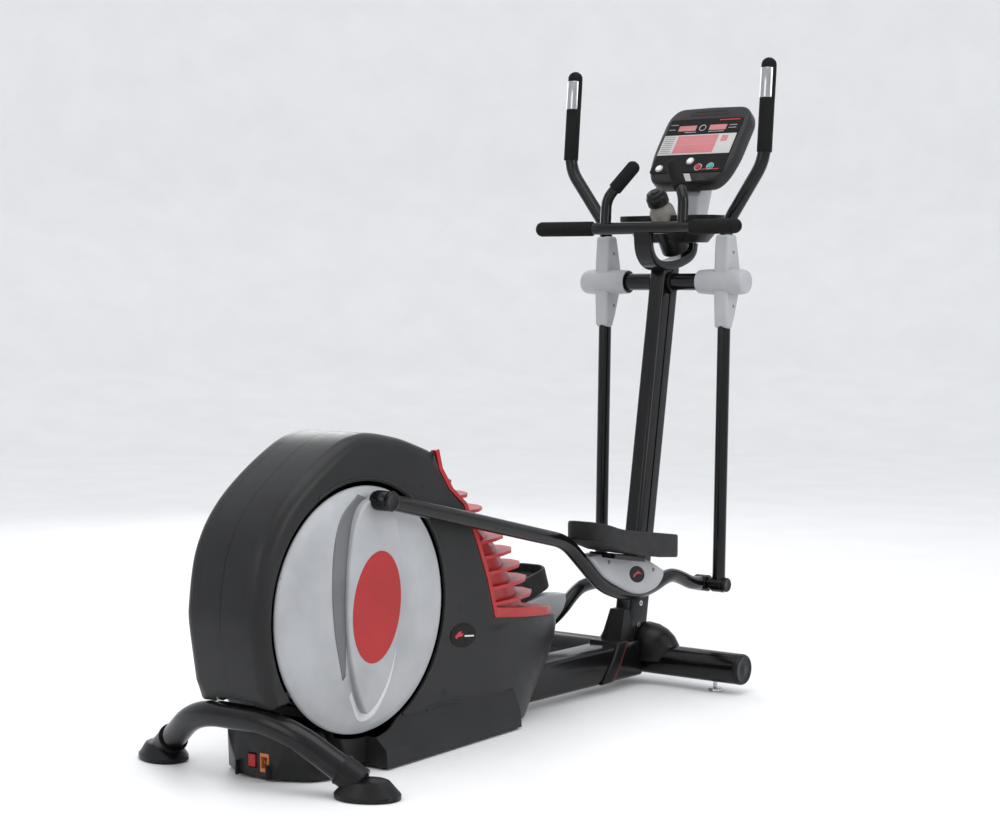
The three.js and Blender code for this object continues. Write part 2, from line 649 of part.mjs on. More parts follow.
function swingArm(side) {
  const boss = rodX(186, 221, JOINT_Y[side], JOINT_Z, 22, 24);
  return cut(join(swingTube(side, 18), boss, hub(0)),
    rodX(160, 260, JOINT_Y[side], JOINT_Z, 17, 24),
    rodX(90, 262, SWING.y, SWING.z, 24.6, 24));
}

function crossbarAxle() {
  return cut(rodX(-258, 258, SWING.y, SWING.z, 24, 24), rodX(-260, 260, SWING.y, SWING.z, 18, 24));
}

function pivotCover(side) {
  const outer = HUB.radius + HUB.wall;
  const barrel = join(
    rodX(HUB.inner, HUB.inner + 30, SWING.y, SWING.z, outer - 3, 28, outer),
    rodX(HUB.inner + 30, HUB.outer - 30, SWING.y, SWING.z, outer, 20),
    rodX(HUB.outer - 30, HUB.outer, SWING.y, SWING.z, outer, 28, outer - 4),
  );
  const upright = outline([[1610, 998], [1636, 993], [1674, 1093], [1684, 1134], [1676, 1178], [1658, 1258],
    [1614, 1258], [1606, 1134]]);
  return cut(join(barrel, prismX(upright, SWING.x - 23, SWING.x + 23, { bevel: 5 })),
    hub(GAP), swingTube(side, 18 + GAP), rodX(90, 200, SWING.y, SWING.z, 24.6, 24));
}

function handleGrip(side) {
  const line = swingLine(side);
  const foot = new THREE.Vector3(...HANDLE.bend).lerp(new THREE.Vector3(...HANDLE.tip), 0.09).toArray();
  const sleeve = join(rod(foot, HANDLE.tip, 21, 20), ball(...HANDLE.tip, 21));
  const inner = new THREE.Vector3(...HANDLE.end).lerp(new THREE.Vector3(...line[3]), 0.08).toArray();
  return cut(sleeve, swingTube(side, 18 + GAP), rod(inner, [328, 1650.6, 1704], 17));
}

function frontPivot(side) {
  const pin = rodX(127, 228, JOINT_Y[side], JOINT_Z, 16.5, 24);
  return join(pin, rodX(222, 234, JOINT_Y[side], JOINT_Z, 20, 24));
}

// ---------------------------------------------------------------- handlebar, tray and bottle
const HORN = [[130, BAR.y, BAR.z], [130, 1532, 1362], [70, 1570, 1446]];
const YOKE = [[1525, 1268], [1530, 1205], [1575, 1169], [1665, 1174], [1751, 1202], [1759, 1238]];

function barPoint(x) {
  const sweep = (BAR.endY - BAR.y) / (BAR.half - BAR.corner);
  return [x, BAR.y + sweep * Math.max(Math.abs(x) - BAR.corner, 0), BAR.z];
}

function fixedHandlebar() {
  const corners = [-BAR.half, -BAR.corner, BAR.corner, BAR.half].map(barPoint);
  const bar = tube(corners, BAR.radius, { bend: 25, sides: 20 });
  const horns = bothSides(tube(HORN, 15.5, { bend: 26 }));
  const yoke = prismX(bandShape(YOKE, 25, 45), -26, 26);
  return join(bar, horns, yoke);
}

function barGrip() {
  const sleeve = rod(barPoint(168), barPoint(BAR.half + 8), 21, 24);
  return cut(sleeve, rod(barPoint(160), barPoint(BAR.half + GAP), BAR.radius + GAP, 20));
}

function hornGrip() {
  const [, bend, tip] = HORN.map((point) => new THREE.Vector3(...point));
  const foot = bend.clone().lerp(tip, 0.3).toArray();
  const end = bend.clone().lerp(tip, 1.04).toArray();
  const inner = bend.clone().lerp(tip, 0.2).toArray();
  return cut(join(rod(foot, end, 19.5, 20), ball(...end, 19.5)), rod(inner, tip.toArray(), 15.5 + GAP, 20));
}

const BOTTLE = { low: [0, 1688, 1224], high: [0, 1581, 1380], radius: 36.5 };

function onBottle(t) {
  return new THREE.Vector3(...BOTTLE.low).lerp(new THREE.Vector3(...BOTTLE.high), t).toArray();
}

function waterBottle() {
  const body = rod(onBottle(0), onBottle(0.68), BOTTLE.radius, 28);
  return join(body, rod(onBottle(0.68), onBottle(0.79), BOTTLE.radius, 28, 25));
}

function bottleCap() {
  const start = onBottle(0.79 + GAP / 192);
  return join(rod(start, onBottle(0.97), 31, 28), rod(onBottle(0.97), onBottle(1.02), 31, 28, 26));
}

function bottleHolder() {
  return cut(rod(onBottle(-0.03), onBottle(0.42), 40, 28), rod(onBottle(-GAP / 192), onBottle(0.6), 37, 28));
}

const TRAY = { half: 163, low: 1238, floor: 1262, high: 1314 };

function accessoryTray() {
  const { half, low, floor, high } = TRAY;
  const hull = Manifold.hull([
    prismZ(rounded(-half, half, 1610, 1740, 50), high - 14, high, { segments: 2 }),
    prismZ(rounded(-105, 105, 1632, 1727, 40), low, low + 2, { segments: 2 }),
  ]);
  const pocket = (x0, x1) => prismZ(rounded(x0, x1, 1626, 1732, 30), floor, high + 10, { segments: 1 });
  const yoke = prismX(bandShape(YOKE, 26, 45), -27, 27);
  return cut(hull, pocket(-134, -50), pocket(50, 134), rod(onBottle(-0.3), onBottle(0.9), 40.5, 28), yoke);
}

// ---------------------------------------------------------------- console
const CONSOLE = { foot: [0, 1718, 1412], width: 284, height: 284, depth: 52, lean: 36.7 };
const BUTTONS = [
  { name: 'stop_button', x: 38, v: 52, finish: 'red' },
  { name: 'start_button', x: 78, v: 54, finish: 'teal' },
  { name: 'up_button', x: 2, v: 76, finish: 'white' },
  { name: 'down_button', x: -96, v: 52, finish: 'white' },
];
const BUTTON = { radius: 9, low: -1.5, high: 6, floor: -4 };

// from the console's own axes (across, up its face, out of its face) to the machine's
function onConsole(solid) {
  return solid.rotate([90 - CONSOLE.lean, 0, 0]).translate(CONSOLE.foot);
}

function buttonHoles() {
  return join(...BUTTONS.map(({ x, v }) => rod([x, v, BUTTON.floor], [x, v, 20], BUTTON.radius + 0.4)));
}

function consoleShell() {
  const half = CONSOLE.width / 2;
  const plan = outline([[-half + 34, 0], [half - 34, 0], [half, 48], [half, CONSOLE.height - 34],
    [half - 22, CONSOLE.height], [-half + 22, CONSOLE.height], [-half, CONSOLE.height - 34], [-half, 48]]);
  const body = prismZ(plan, -CONSOLE.depth, 0, { bevel: 7 });
  return onConsole(cut(body, buttonHoles()));
}

function consoleFace() {
  return onConsole(cut(prismZ(rounded(-125, 125, 34, 236, 10), GAP, 3.5, { segments: 3 }), buttonHoles()));
}

function consoleButton({ x, v }) {
  return onConsole(rod([x, v, BUTTON.low], [x, v, BUTTON.high], BUTTON.radius, 20));
}

function consoleNeck() {
  const side = outline([[1743, 1241], [1779, 1241], [1848, 1440], [1808, 1500], [1758, 1440]]);
  const behindConsole = onConsole(box(-200, 200, -100, 400, -CONSOLE.depth - GAP, 90));
  return cut(prismX(side, -36, 36, { bevel: 4 }), behindConsole, prismX(bandShape(YOKE, 26, 45), -27, 27));
}

// ---------------------------------------------------------------- assembly
const trainer = new THREE.Group();
trainer.position.y = -ORIGIN_Y;

function place(name, solid, finish) {
  const mesh = new THREE.Mesh(geometryOf(solid), FINISH[finish]);
  mesh.name = name;
  trainer.add(mesh);
}

function placePair(name, make, finish) {
  for (const side of Object.keys(SIDES)) {
    const solid = make(side);
    place(`${side}_${name}`, SIDES[side] < 0 ? solid.mirror([1, 0, 0]) : solid, finish);
  }
}

place('base_frame', baseFrame(), 'blackPaint');
place('rear_stabilizer', rearStabilizer(), 'blackPaint');
placePair('rear_foot', rearFoot, 'blackPlastic');
place('front_stabilizer', frontStabilizer(), 'blackPaint');
placePair('front_cap', frontCap, 'blackPlastic');
placePair('levelling_foot', levellingFoot, 'steel');
place('mast', mast(), 'blackPaint');
place('mast_boot', mastBoot(), 'blackPlastic');
placePair('fairing', fairing, 'blackPlastic');

placePair('shell', shellHalf, 'charcoal');
place('front_grille', grille(), 'red');
place('power_box', powerBox(), 'charcoal');
place('power_inlet', powerInlet(), 'amber');
place('power_switch', powerSwitch(), 'red');

place('crank_axle', crankAxle(), 'steel');
placePair('crank_bearing', crankBearing, 'steel');
place('drive_pulley', drivePulley(), 'blackPlastic');
place('drive_belt', driveBelt(), 'rubber');
place('flywheel', flywheel(), 'castIron');
place('idler_wheel', idlerWheel(), 'steel');
place('brake_magnet', brakeMagnet(), 'steel');
placePair('crank_disc', crankDisc, 'silver');

for (const side of Object.keys(SIDES)) {
  place(`${side}_pedal_arm`, settle(pedalArm(), side), 'blackPaint');
  place(`${side}_arm_cover`, settle(armCover(), side), 'silver');
  place(`${side}_pedal`, settle(pedal(), side), 'foam');
}

place('crossbar_axle', crossbarAxle(), 'blackPaint');
placePair('swing_arm', swingArm, 'blackPaint');
placePair('pivot_cover', pivotCover, 'silver');
placePair('handle_grip', handleGrip, 'foam');
placePair('front_pivot', frontPivot, 'steel');

place('fixed_handlebar', fixedHandlebar(), 'blackPaint');
placePair('bar_grip', barGrip, 'foam');
placePair('horn_grip', hornGrip, 'foam');
place('accessory_tray', accessoryTray(), 'blackPlastic');
place('bottle_holder', bottleHolder(), 'blackPlastic');
place('water_bottle', waterBottle(), 'bottle');
place('bottle_cap', bottleCap(), 'blackPlastic');

place('console_shell', consoleShell(), 'charcoal');
place('console_face', consoleFace(), 'blackPlastic');
place('console_neck', consoleNeck(), 'silver');
BUTTONS.forEach((button) => place(button.name, consoleButton(button), button.finish));

export default trainer;
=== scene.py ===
"""Elliptical trainer: the looks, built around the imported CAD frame.

Outlines are in the drawing's millimetres (x across, y forward from between the rear feet,
z up); at() turns them into the frame's metres.
"""
import json
import math

import bmesh
import bpy
from mathutils import Matrix, Vector

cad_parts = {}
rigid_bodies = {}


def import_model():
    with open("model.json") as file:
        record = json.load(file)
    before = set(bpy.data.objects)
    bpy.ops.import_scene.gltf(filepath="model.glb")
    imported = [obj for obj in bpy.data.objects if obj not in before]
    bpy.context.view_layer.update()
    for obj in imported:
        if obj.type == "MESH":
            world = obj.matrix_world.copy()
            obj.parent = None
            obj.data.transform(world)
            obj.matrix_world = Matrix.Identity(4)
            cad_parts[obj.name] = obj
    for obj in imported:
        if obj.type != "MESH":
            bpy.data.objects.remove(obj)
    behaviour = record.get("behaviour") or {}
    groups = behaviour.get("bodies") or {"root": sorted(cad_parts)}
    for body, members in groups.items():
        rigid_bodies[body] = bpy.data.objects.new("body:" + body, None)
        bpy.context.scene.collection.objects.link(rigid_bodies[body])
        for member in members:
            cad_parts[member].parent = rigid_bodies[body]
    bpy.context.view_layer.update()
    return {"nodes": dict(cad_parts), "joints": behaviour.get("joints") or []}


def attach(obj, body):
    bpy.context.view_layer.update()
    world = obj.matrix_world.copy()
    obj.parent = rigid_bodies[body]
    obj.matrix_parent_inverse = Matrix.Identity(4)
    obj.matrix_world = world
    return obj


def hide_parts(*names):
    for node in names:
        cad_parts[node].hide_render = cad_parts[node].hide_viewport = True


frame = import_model()

# ---- places, from the frame
ORIGIN_Y = 905
SIDES = {"left": -1, "right": 1}


def joint_place(name):
    """A joint's place in the drawing's millimetres."""
    joint = next(j for j in frame["joints"] if j["name"] == name)
    x, y, z = joint["pos_m"]
    return Vector((x * 1000, y * 1000 + ORIGIN_Y, z * 1000))


def at(x, y, z):
    """A point of the drawing, in the frame's metres."""
    return Vector((x, y - ORIGIN_Y, z)) / 1000


def place(points):
    return [at(*point) for point in points]


def mirrored(point, way):
    """A point of the right side as it is, or of the left side when way is -1."""
    return Vector((point[0] * way, point[1], point[2]))


CRANK = joint_place("crank_spin")
KNEE = {side: joint_place(f"{side}_knuckle_turn") for side in SIDES}
ARM_PITCH = {"left": 20.5, "right": 0.0}
PIN_Y, PIN_Z = 215, 625  # the crank pin, at a pedal arm's rear end as drawn
KNEE_Y, KNEE_Z = 1609, 279  # its front end, where it meets the swing arm
PIVOT_Y, PIVOT_Z = 1632, 1126  # the axle that carries both swing arms
LEG_BEND, LEG_END = Vector((133, -82, 151)), Vector((308, -13, 31))
X_AXIS, REARWARD = Vector((1, 0, 0)), Vector((0, -1, 0))

# ---- materials


def nodes_of(name):
    material = bpy.data.materials.new(name)
    material.use_nodes = True
    tree = material.node_tree
    shader = tree.nodes["Principled BSDF"]
    coords = tree.nodes.new("ShaderNodeTexCoord").outputs["Object"]
    return material, tree, shader, coords


def noise(tree, coords, scale, detail=4.0, roughness=0.55):
    node = tree.nodes.new("ShaderNodeTexNoise")
    node.inputs["Scale"].default_value = scale
    node.inputs["Detail"].default_value = detail
    node.inputs["Roughness"].default_value = roughness
    tree.links.new(coords, node.inputs["Vector"])
    return node.outputs["Fac"]


def ramp(tree, value, low, high):
    node = tree.nodes.new("ShaderNodeValToRGB")
    node.color_ramp.elements[0].position = 0.35
    node.color_ramp.elements[0].color = (*low, 1)
    node.color_ramp.elements[1].position = 0.65
    node.color_ramp.elements[1].color = (*high, 1)
    tree.links.new(value, node.inputs["Fac"])
    return node.outputs["Color"]


def spread(tree, value, low, high):
    node = tree.nodes.new("ShaderNodeMapRange")
    node.inputs["From Min"].default_value = 0.3
    node.inputs["From Max"].default_value = 0.7
    node.inputs["To Min"].default_value = low
    node.inputs["To Max"].default_value = high
    tree.links.new(value, node.inputs["Value"])
    return node.outputs["Result"]


def bump(tree, shader, value, depth):
    node = tree.nodes.new("ShaderNodeBump")
    node.inputs["Strength"].default_value = 1.0
    node.inputs["Distance"].default_value = depth
    tree.links.new(value, node.inputs["Height"])
    tree.links.new(node.outputs["Normal"], shader.inputs["Normal"])


def tinted(colour, factor):
    return tuple(channel * factor for channel in colour)


def finish(name, colour, rough, grain, depth, spread_by=0.06, metal=0.0, coat=0.0, level=0.5, cloud=6.0):
    """A moulded, painted or turned surface: slow colour drift, uneven gloss and a fine grain."""
    material, tree, shader, coords = nodes_of(name)
    drift = noise(tree, coords, cloud, 3.0)
    tree.links.new(ramp(tree, drift, tinted(colour, 0.88), tinted(colour, 1.1)), shader.inputs["Base Color"])
    patches = noise(tree, coords, cloud * 5, 5.0)
    tree.links.new(spread(tree, patches, rough - spread_by, rough + spread_by), shader.inputs["Roughness"])
    bump(tree, shader, noise(tree, coords, grain, 2.0, 0.6), depth)
    shader.inputs["Metallic"].default_value = metal
    shader.inputs["Coat Weight"].default_value = coat
    shader.inputs["Coat Roughness"].default_value = 0.08
    shader.inputs["Specular IOR Level"].default_value = level
    return material


FINISH = {
    "black_paint": finish("black_paint", (0.0035, 0.0035, 0.004), 0.2, 900, 0.00002, 0.03,
                          coat=0.15, level=0.22),
    "charcoal_plastic": finish("charcoal_plastic", (0.017, 0.017, 0.0175), 0.34, 1500, 0.00003, 0.04,
                               level=0.2),
    "black_plastic": finish("black_plastic", (0.006, 0.006, 0.0065), 0.32, 1400, 0.00003, 0.05, level=0.22),
    "silver_plastic": finish("silver_plastic", (0.36, 0.368, 0.382), 0.42, 1100, 0.00002, 0.04),
    "red_plastic": finish("red_plastic", (0.37, 0.0075, 0.009), 0.34, 900, 0.00002, 0.04, level=0.4),
    "amber_plastic": finish("amber_plastic", (0.5, 0.17, 0.05), 0.42, 900, 0.00005),
    "teal_plastic": finish("teal_plastic", (0.03, 0.34, 0.32), 0.35, 900, 0.00005),
    "white_plastic": finish("white_plastic", (0.72, 0.72, 0.72), 0.35, 900, 0.00004),
    "overlay_plastic": finish("overlay_plastic", (0.003, 0.0025, 0.003), 0.3, 1600, 0.00002, level=0.15),
    "bottle_plastic": finish("bottle_plastic", (0.19, 0.175, 0.155), 0.42, 700, 0.00004),
    "tread_rubber": finish("tread_rubber", (0.011, 0.011, 0.0115), 0.6, 900, 0.00012, 0.08, level=0.35),
    "grip_foam": finish("grip_foam", (0.008, 0.008, 0.0082), 0.82, 1500, 0.0002, 0.06, level=0.15, cloud=14),
    "belt_rubber": finish("belt_rubber", (0.012, 0.012, 0.012), 0.75, 1200, 0.0002),
    "steel": finish("steel", (0.52, 0.52, 0.53), 0.28, 700, 0.00003, 0.06, metal=1.0),
    "cast_iron": finish("cast_iron", (0.1, 0.1, 0.105), 0.55, 500, 0.0003, 0.1, metal=0.8),
}
CHROME = finish("chrome", (0.42, 0.42, 0.43), 0.14, 300, 0.00002, 0.03, metal=1.0)
# Dark grey: the printed lines on the console's strip, and the painted shade crescent beside each disc's
# island.
DARK_GREY = finish("dark_grey_plastic", (0.12, 0.122, 0.127), 0.42, 1200, 0.00002)
# Near-black matt patches: painted shade that stands for the dark insides of slots and recesses, which are not
# cut.
RECESS_SHADE = finish("deep_black", (0.004, 0.004, 0.004), 0.7, 900, 0.0001)
WINDOW = finish("display_window", (0.42, 0.15, 0.155), 0.25, 1800, 0.00001, 0.03)
STRIP = finish("display_strip", (0.42, 0.41, 0.405), 0.3, 1500, 0.00001, 0.03)
MARK_RED = finish("mark_red", (0.5, 0.01, 0.03), 0.3, 1200, 0.00002)
PURPLE = finish("purple_plastic", (0.13, 0.03, 0.25), 0.4, 900, 0.00005)
WINDOW_LOW = finish("display_window_low", (0.45, 0.14, 0.15), 0.25, 1800, 0.00001, 0.03)
# A paler silver, used only for the painted highlight crescent under each disc island's tip.
HIGHLIGHT_SILVER = finish("pale_silver", (0.6, 0.61, 0.62), 0.4, 1100, 0.00002, 0.04)
# Dark red: a painted highlight along the edge of the mast boot.
BOOT_EDGE_HIGHLIGHT = finish("dark_red_trim", (0.11, 0.012, 0.016), 0.4, 900, 0.00004)

# ---- meshes


def linked(name, data):
    """A new object in the scene that holds the mesh, camera or light."""
    made = bpy.data.objects.new(name, data)
    bpy.context.scene.collection.objects.link(made)
    return made


def object_of(name, bm, smooth=38.0):
    bmesh.ops.recalc_face_normals(bm, faces=bm.faces)
    mesh = bpy.data.meshes.new(name)
    bm.to_mesh(mesh)
    bm.free()
    mesh.shade_smooth()
    mesh.set_sharp_from_angle(angle=math.radians(smooth))
    return linked(name, mesh)


def dress(piece, slot, body="machine", nodes=(), material=None):
    """Gives a piece its finish and its body, and hides the CAD nodes that it stands for."""
    piece.data.materials.clear()
    piece.data.materials.append(material or FINISH[slot])
    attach(piece, body)
    if nodes:
        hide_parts(*nodes)
    return piece


def soften(piece, width, segments):
    """Rounds the sharp edges; width in millimetres."""
    modifier = piece.modifiers.new("soften", "BEVEL")
    modifier.width = width / 1000
    modifier.segments = segments
    modifier.limit_method = "ANGLE"
    modifier.angle_limit = math.radians(34)
    modifier.use_clamp_overlap = True
    modifier.harden_normals = False


def bridge(bm, rings, closed=True):
    """Quads between rings of equal count; each ring a list of points in metres."""
    grid = [[bm.verts.new(point) for point in ring] for ring in rings]
    count = len(grid[0])
    for low, high in zip(grid, grid[1:]):
        for i in range(count if closed else count - 1):
            j = (i + 1) % count
            bm.faces.new((low[i], low[j], high[j], high[i]))
    return grid


def skin(name, rings, smooth=38.0):
    """A closed piece: the rings bridged, and a cap at each end."""
    bm = bmesh.new()
    grid = bridge(bm, rings)
    bm.faces.new(list(reversed(grid[0])))
    bm.faces.new(grid[-1])
    return object_of(name, bm, smooth)


def circle(count):
    """The cosine and sine of evenly spaced directions all round."""
    angles = [2 * math.pi * i / count for i in range(count)]
    return [(math.cos(angle), math.sin(angle)) for angle in angles]


def filleted(corners, bend, steps=8):
    """Corner points joined by straight stretches and rounded bends."""
    line = [corners[0]]
    for before, corner, after in zip(corners, corners[1:], corners[2:]):
        back = min(bend, (before - corner).length * 0.49)
        ahead = min(bend, (after - corner).length * 0.49)
        start = corner + (before - corner).normalized() * back
        end = corner + (after - corner).normalized() * ahead
        for i in range(steps + 1):
            t = i / steps
            line.append(start * (1 - t) ** 2 + corner * 2 * t * (1 - t) + end * t * t)
    line.append(corners[-1])
    return line


def directions(line):
    out = []
    for i, point in enumerate(line):
        along = Vector()
        if i > 0:
            along += (point - line[i - 1]).normalized()
        if i < len(line) - 1:
            along += (line[i + 1] - point).normalized()
        out.append(along.normalized())
    return out


def tube(name, corners, radius, bend, sides=28):
    """A tube bent at its corners, without twist; corners and bend in metres, radius in mm."""
    line = filleted(corners, bend)
    along = directions(line)
    side = along[0].orthogonal().normalized()
    rings = []
    for point, way in zip(line, along):
        side = (side - way * side.dot(way)).normalized()
        up = way.cross(side)
        rings.append([point + (side * c + up * s) * radius / 1000 for c, s in circle(sides)])
    return skin(name, rings)


def turned(name, start, along, profile, sides=48, smooth=30.0):
    """A turned piece: profile is [(mm along, mm radius), ...] from start."""
    way = along.normalized()
    side = way.orthogonal().normalized()
    up = way.cross(side)
    rings = []
    for step, radius in profile:
        centre = start + way * step / 1000
        rings.append([centre + (side * c + up * s) * max(radius, 0.05) / 1000 for c, s in circle(sides)])
    return skin(name, rings, smooth)


def sided(side, name, spot, profile, slot, body="machine", nodes=(), sides=48, smooth=30.0):
    """A piece turned outward along x on one side; spot is its start on the right side, in mm."""
    way = SIDES[side]
    piece = turned(f"{side}_{name}", at(*mirrored(spot, way)), X_AXIS * way, profile, sides, smooth)
    dress(piece, slot, body, nodes)


def slab(name, outline, spot, thick, bevel=0.0, segments=3, smooth=38.0):
    """A flat plate: outline [(a, b), ...] in mm, spot(a, b, h) gives metres, thick in mm."""
    piece = skin(name, [[spot(a, b, h) for a, b in outline] for h in (0, thick)], smooth)
    if bevel:
        soften(piece, bevel, segments)
    return piece


def ellipse(a, b, half_a, half_b, tilt=0.0, count=48):
    c, s = math.cos(math.radians(tilt)), math.sin(math.radians(tilt))
    points = []
    for cosine, sine in circle(count):
        u, v = half_a * cosine, half_b * sine
        points.append((a + u * c - v * s, b + u * s + v * c))
    return points


def box_line(x0, x1, y0, y1, r, steps=5):
    """A rectangle with rounded corners."""
    points = []
    for x, y, start in ((x1 - r, y1 - r, 0), (x0 + r, y1 - r, 90),
                        (x0 + r, y0 + r, 180), (x1 - r, y0 + r, 270)):
        for i in range(steps + 1):
            angle = math.radians(start + 90 * i / steps)
            points.append((x + r * math.cos(angle), y + r * math.sin(angle)))
    return points


def smooth_curve(points, steps):
    """A Catmull-Rom curve through points of any dimension."""
    ends = [points[0]] + list(points) + [points[-1]]
    line = []
    for p, q, r, s in zip(ends, ends[1:], ends[2:], ends[3:]):
        for i in range(steps):
            t = i / steps
            line.append(tuple(
                0.5 * (2 * b + (c - a) * t + (2 * a - 5 * b + 4 * c - d) * t * t
                       + (3 * b - a - 3 * c + d) * t ** 3)
                for a, b, c, d in zip(p, q, r, s)))
    line.append(tuple(points[-1]))
    return line


def combine(piece, other, operation):
    """Joins or cuts with another mesh, which is then gone."""
    modifier = piece.modifiers.new("combine", "BOOLEAN")
    modifier.operation = operation
    modifier.solver = "EXACT"
    modifier.object = other
    depsgraph = bpy.context.evaluated_depsgraph_get()
    made = bpy.data.meshes.new_from_object(piece.evaluated_get(depsgraph))
    piece.modifiers.clear()
    piece.data = made
    bpy.data.objects.remove(other)
    made.shade_smooth()
    made.set_sharp_from_angle(angle=math.radians(38))
    return piece


def refine(node, width):
    """A CAD node's own shape with its coplanar facets merged and its edges rounded."""
    bm = bmesh.new()
    bm.from_mesh(frame["nodes"][node].data)
    bmesh.ops.remove_doubles(bm, verts=bm.verts, dist=1e-6)
    bmesh.ops.dissolve_limit(bm, angle_limit=math.radians(1.0), verts=bm.verts, edges=bm.edges)
    piece = object_of(f"{node}_form", bm)
    soften(piece, width, 2)
    dress(piece, SLOT_OF[node], BODY_OF[node], [node])


# ---- camera, floor and light
SENSOR_MM, LENS_MM = 36, 76.4
CAMERA_PLACE, CAMERA_TURN = (3.3618, -4.3355, 1.12), (90 - 3.586, 0, 38)
FLOOR_DROP = 0.0005


def make_camera():
    data = bpy.data.cameras.new("camera")
    data.sensor_width = SENSOR_MM
    data.lens = LENS_MM
    camera = linked("camera", data)
    camera.location = CAMERA_PLACE
    camera.rotation_euler = [math.radians(turn) for turn in CAMERA_TURN]
    bpy.context.scene.camera = camera


def make_floor():
    """A pale floor just under the feet, which runs back and up in one sweep on every side."""
    profile = [(6, 0), (9, 0), (11, 0.5), (12.5, 2), (13, 5), (13, 9)]
    rings = [[(reach * c, reach * s, height - FLOOR_DROP) for c, s in circle(64)]
             for reach, height in profile]
    bm = bmesh.new()
    bm.faces.new(bridge(bm, rings)[0])
    floor = object_of("floor", bm, 60)
    material, tree, shader, coords = nodes_of("floor_white")
    tint = noise(tree, coords, 3.0)
    tree.links.new(ramp(tree, tint, (0.86, 0.86, 0.865), (0.89, 0.89, 0.89)), shader.inputs["Base Color"])
    tree.links.new(spread(tree, noise(tree, coords, 40), 0.6, 0.7), shader.inputs["Roughness"])
    floor.data.materials.append(material)


def area_light(name, spot, target, size, power):
    data = bpy.data.lights.new(name, "AREA")
    data.shape = "RECTANGLE"
    data.size, data.size_y = size
    data.energy = power
    light = linked(name, data)
    light.location = spot
    light.rotation_euler = (Vector(target) - Vector(spot)).to_track_quat("-Z", "Y").to_euler()


def make_light():
    world = bpy.data.worlds.new("studio")
    world.use_nodes = True
    sky = world.node_tree.nodes["Background"]
    sky.inputs["Color"].default_value = (0.95, 0.97, 1.0, 1)
    sky.inputs["Strength"].default_value = 1.0
    bpy.context.scene.world = world
    area_light("overhead", (0.6, -0.6, 4.2), (0, 0, 0.6), (3.4, 3.4), 62)
    area_light("right_key", (4.4, 0.4, 2.6), (0.1, 0, 0.7), (2.2, 2.6), 55)
    area_light("rear_fill", (-0.6, -4.6, 2.2), (0, 0, 0.6), (2.4, 2.4), 26)
    area_light("far_rim", (-3.4, 2.4, 2.6), (0, 0.3, 0.8), (1.6, 2.6), 40)


bpy.context.scene.view_settings.view_transform = "Standard"
make_camera()
make_floor()
make_light()

# ---- the finish of every CAD node; a star stands for left and right
SLOT_NODES = {
    "black_paint": "base_frame rear_stabilizer front_stabilizer mast crossbar_axle fixed_handlebar"
                   " *_swing_arm *_pedal_arm",
    "charcoal_plastic": "*_shell power_box console_shell",
    "black_plastic": "*_rear_foot *_front_cap mast_boot *_fairing drive_pulley accessory_tray bottle_holder"
                     " bottle_cap",
    "silver_plastic": "*_crank_disc *_pivot_cover *_arm_cover console_neck",
    "red_plastic": "front_grille power_switch stop_button",
    "amber_plastic": "power_inlet",
    "teal_plastic": "start_button",
    "white_plastic": "up_button down_button",
    "overlay_plastic": "console_face",
    "bottle_plastic": "water_bottle",
    "tread_rubber": "*_pedal",
    "grip_foam": "*_handle_grip *_bar_grip *_horn_grip",
    "belt_rubber": "drive_belt",
    "steel": "*_levelling_foot crank_axle *_crank_bearing idler_wheel brake_magnet *_front_pivot",
    "cast_iron": "flywheel",
}
SLOT_OF = {node.replace("*", side): slot for slot, nodes in SLOT_NODES.items() for node in nodes.split()
           for side in SIDES}
BODY_OF = {node: made.parent.name.removeprefix("body:") for node, made in frame["nodes"].items()}

for node, made in frame["nodes"].items():
    made.data.materials.clear()
    made.data.materials.append(FINISH[SLOT_OF[node]])


# ---- shapes kept from the frame, edges rounded; widths in mm
EDGE_OF = {
    "base_frame": 3.0, "mast_boot": 3.0, "power_box": 4.0, "accessory_tray": 3.0,
    "left_levelling_foot": 1.0, "right_levelling_foot": 1.0, "front_grille": 2.0,
    "left_fairing": 1.0, "right_fairing": 1.0, "bottle_holder": 0.8, "power_inlet": 0.8, "power_switch": 1.2,
    "console_neck": 3.0, "stop_button": 1.2, "start_button": 1.2, "up_button": 1.2, "down_button": 1.2,
}
for node, width in EDGE_OF.items():
    refine(node, width)


# ---- housing
BORDER = [(470, 722), (484, 675), (524, 623), (577, 583), (630, 481), (670, 390), (700, 292)]
BACK = [(-132, 336), (-135, 400), (-109, 530), (-35, 636), (105, 735), (214, 775), (347, 760), (470, 722)]
HOUSING_HALF = 120
HOUSING_ROUND = 34
NOSE_TIPS = [(9, 930), (80, 990), (140, 1042), (210, 1080), (262, 1072), (289, 1030)]
NOSE_REAR, NOSE_FRONT = (702, 289), (1030, 252)
SKIRT_SIDE = [(186, 5.5), (182, 46), (120, 99), (90, 99), (90, 5.5)]
SKIRT_SHRINK, SKIRT_SPAN = 40, (215, 775)
DISC_OPENING = 298
SHELL_WALL = 3
NOSE_BACK = 640
UNDERSIDE = 20  # lower points are on the underside, where the inner solid leaves a wall too
ALMOST_MIDDLE = 0.15  # the right half starts just beside the middle plane


def side_line():
    """The housing's side outline with a weight for how much of the edge rounding each point gets."""
    line = [(-85, 176, 0.5), (-111, 224, 0.8)]
    line += [(y, z, 1.0) for y, z in smooth_curve(BACK, 12)][:-1]
    line += [(470, 722, 0.35)] + [(y, z, 0.12) for y, z in BORDER[1:]]
    line += [(700, 8, 0.3), (158, 8, 0.3), (80, 150, 0.4), (-20, 186, 0.4)]
    return line


def inset_line(line, inset):
    """The outline moved inward, each point by the inset times its weight."""
    out = []
    for i, (y, z, weight) in enumerate(line):
        before, after = line[i - 1], line[(i + 1) % len(line)]
        a = Vector((y - before[0], z - before[1])).normalized()
        b = Vector((after[0] - y, after[1] - z)).normalized()
        along = (a + b).normalized()
        inward = Vector((along.y, -along.x))
        out.append(Vector((y, z)) + inward * inset * weight)
    return out


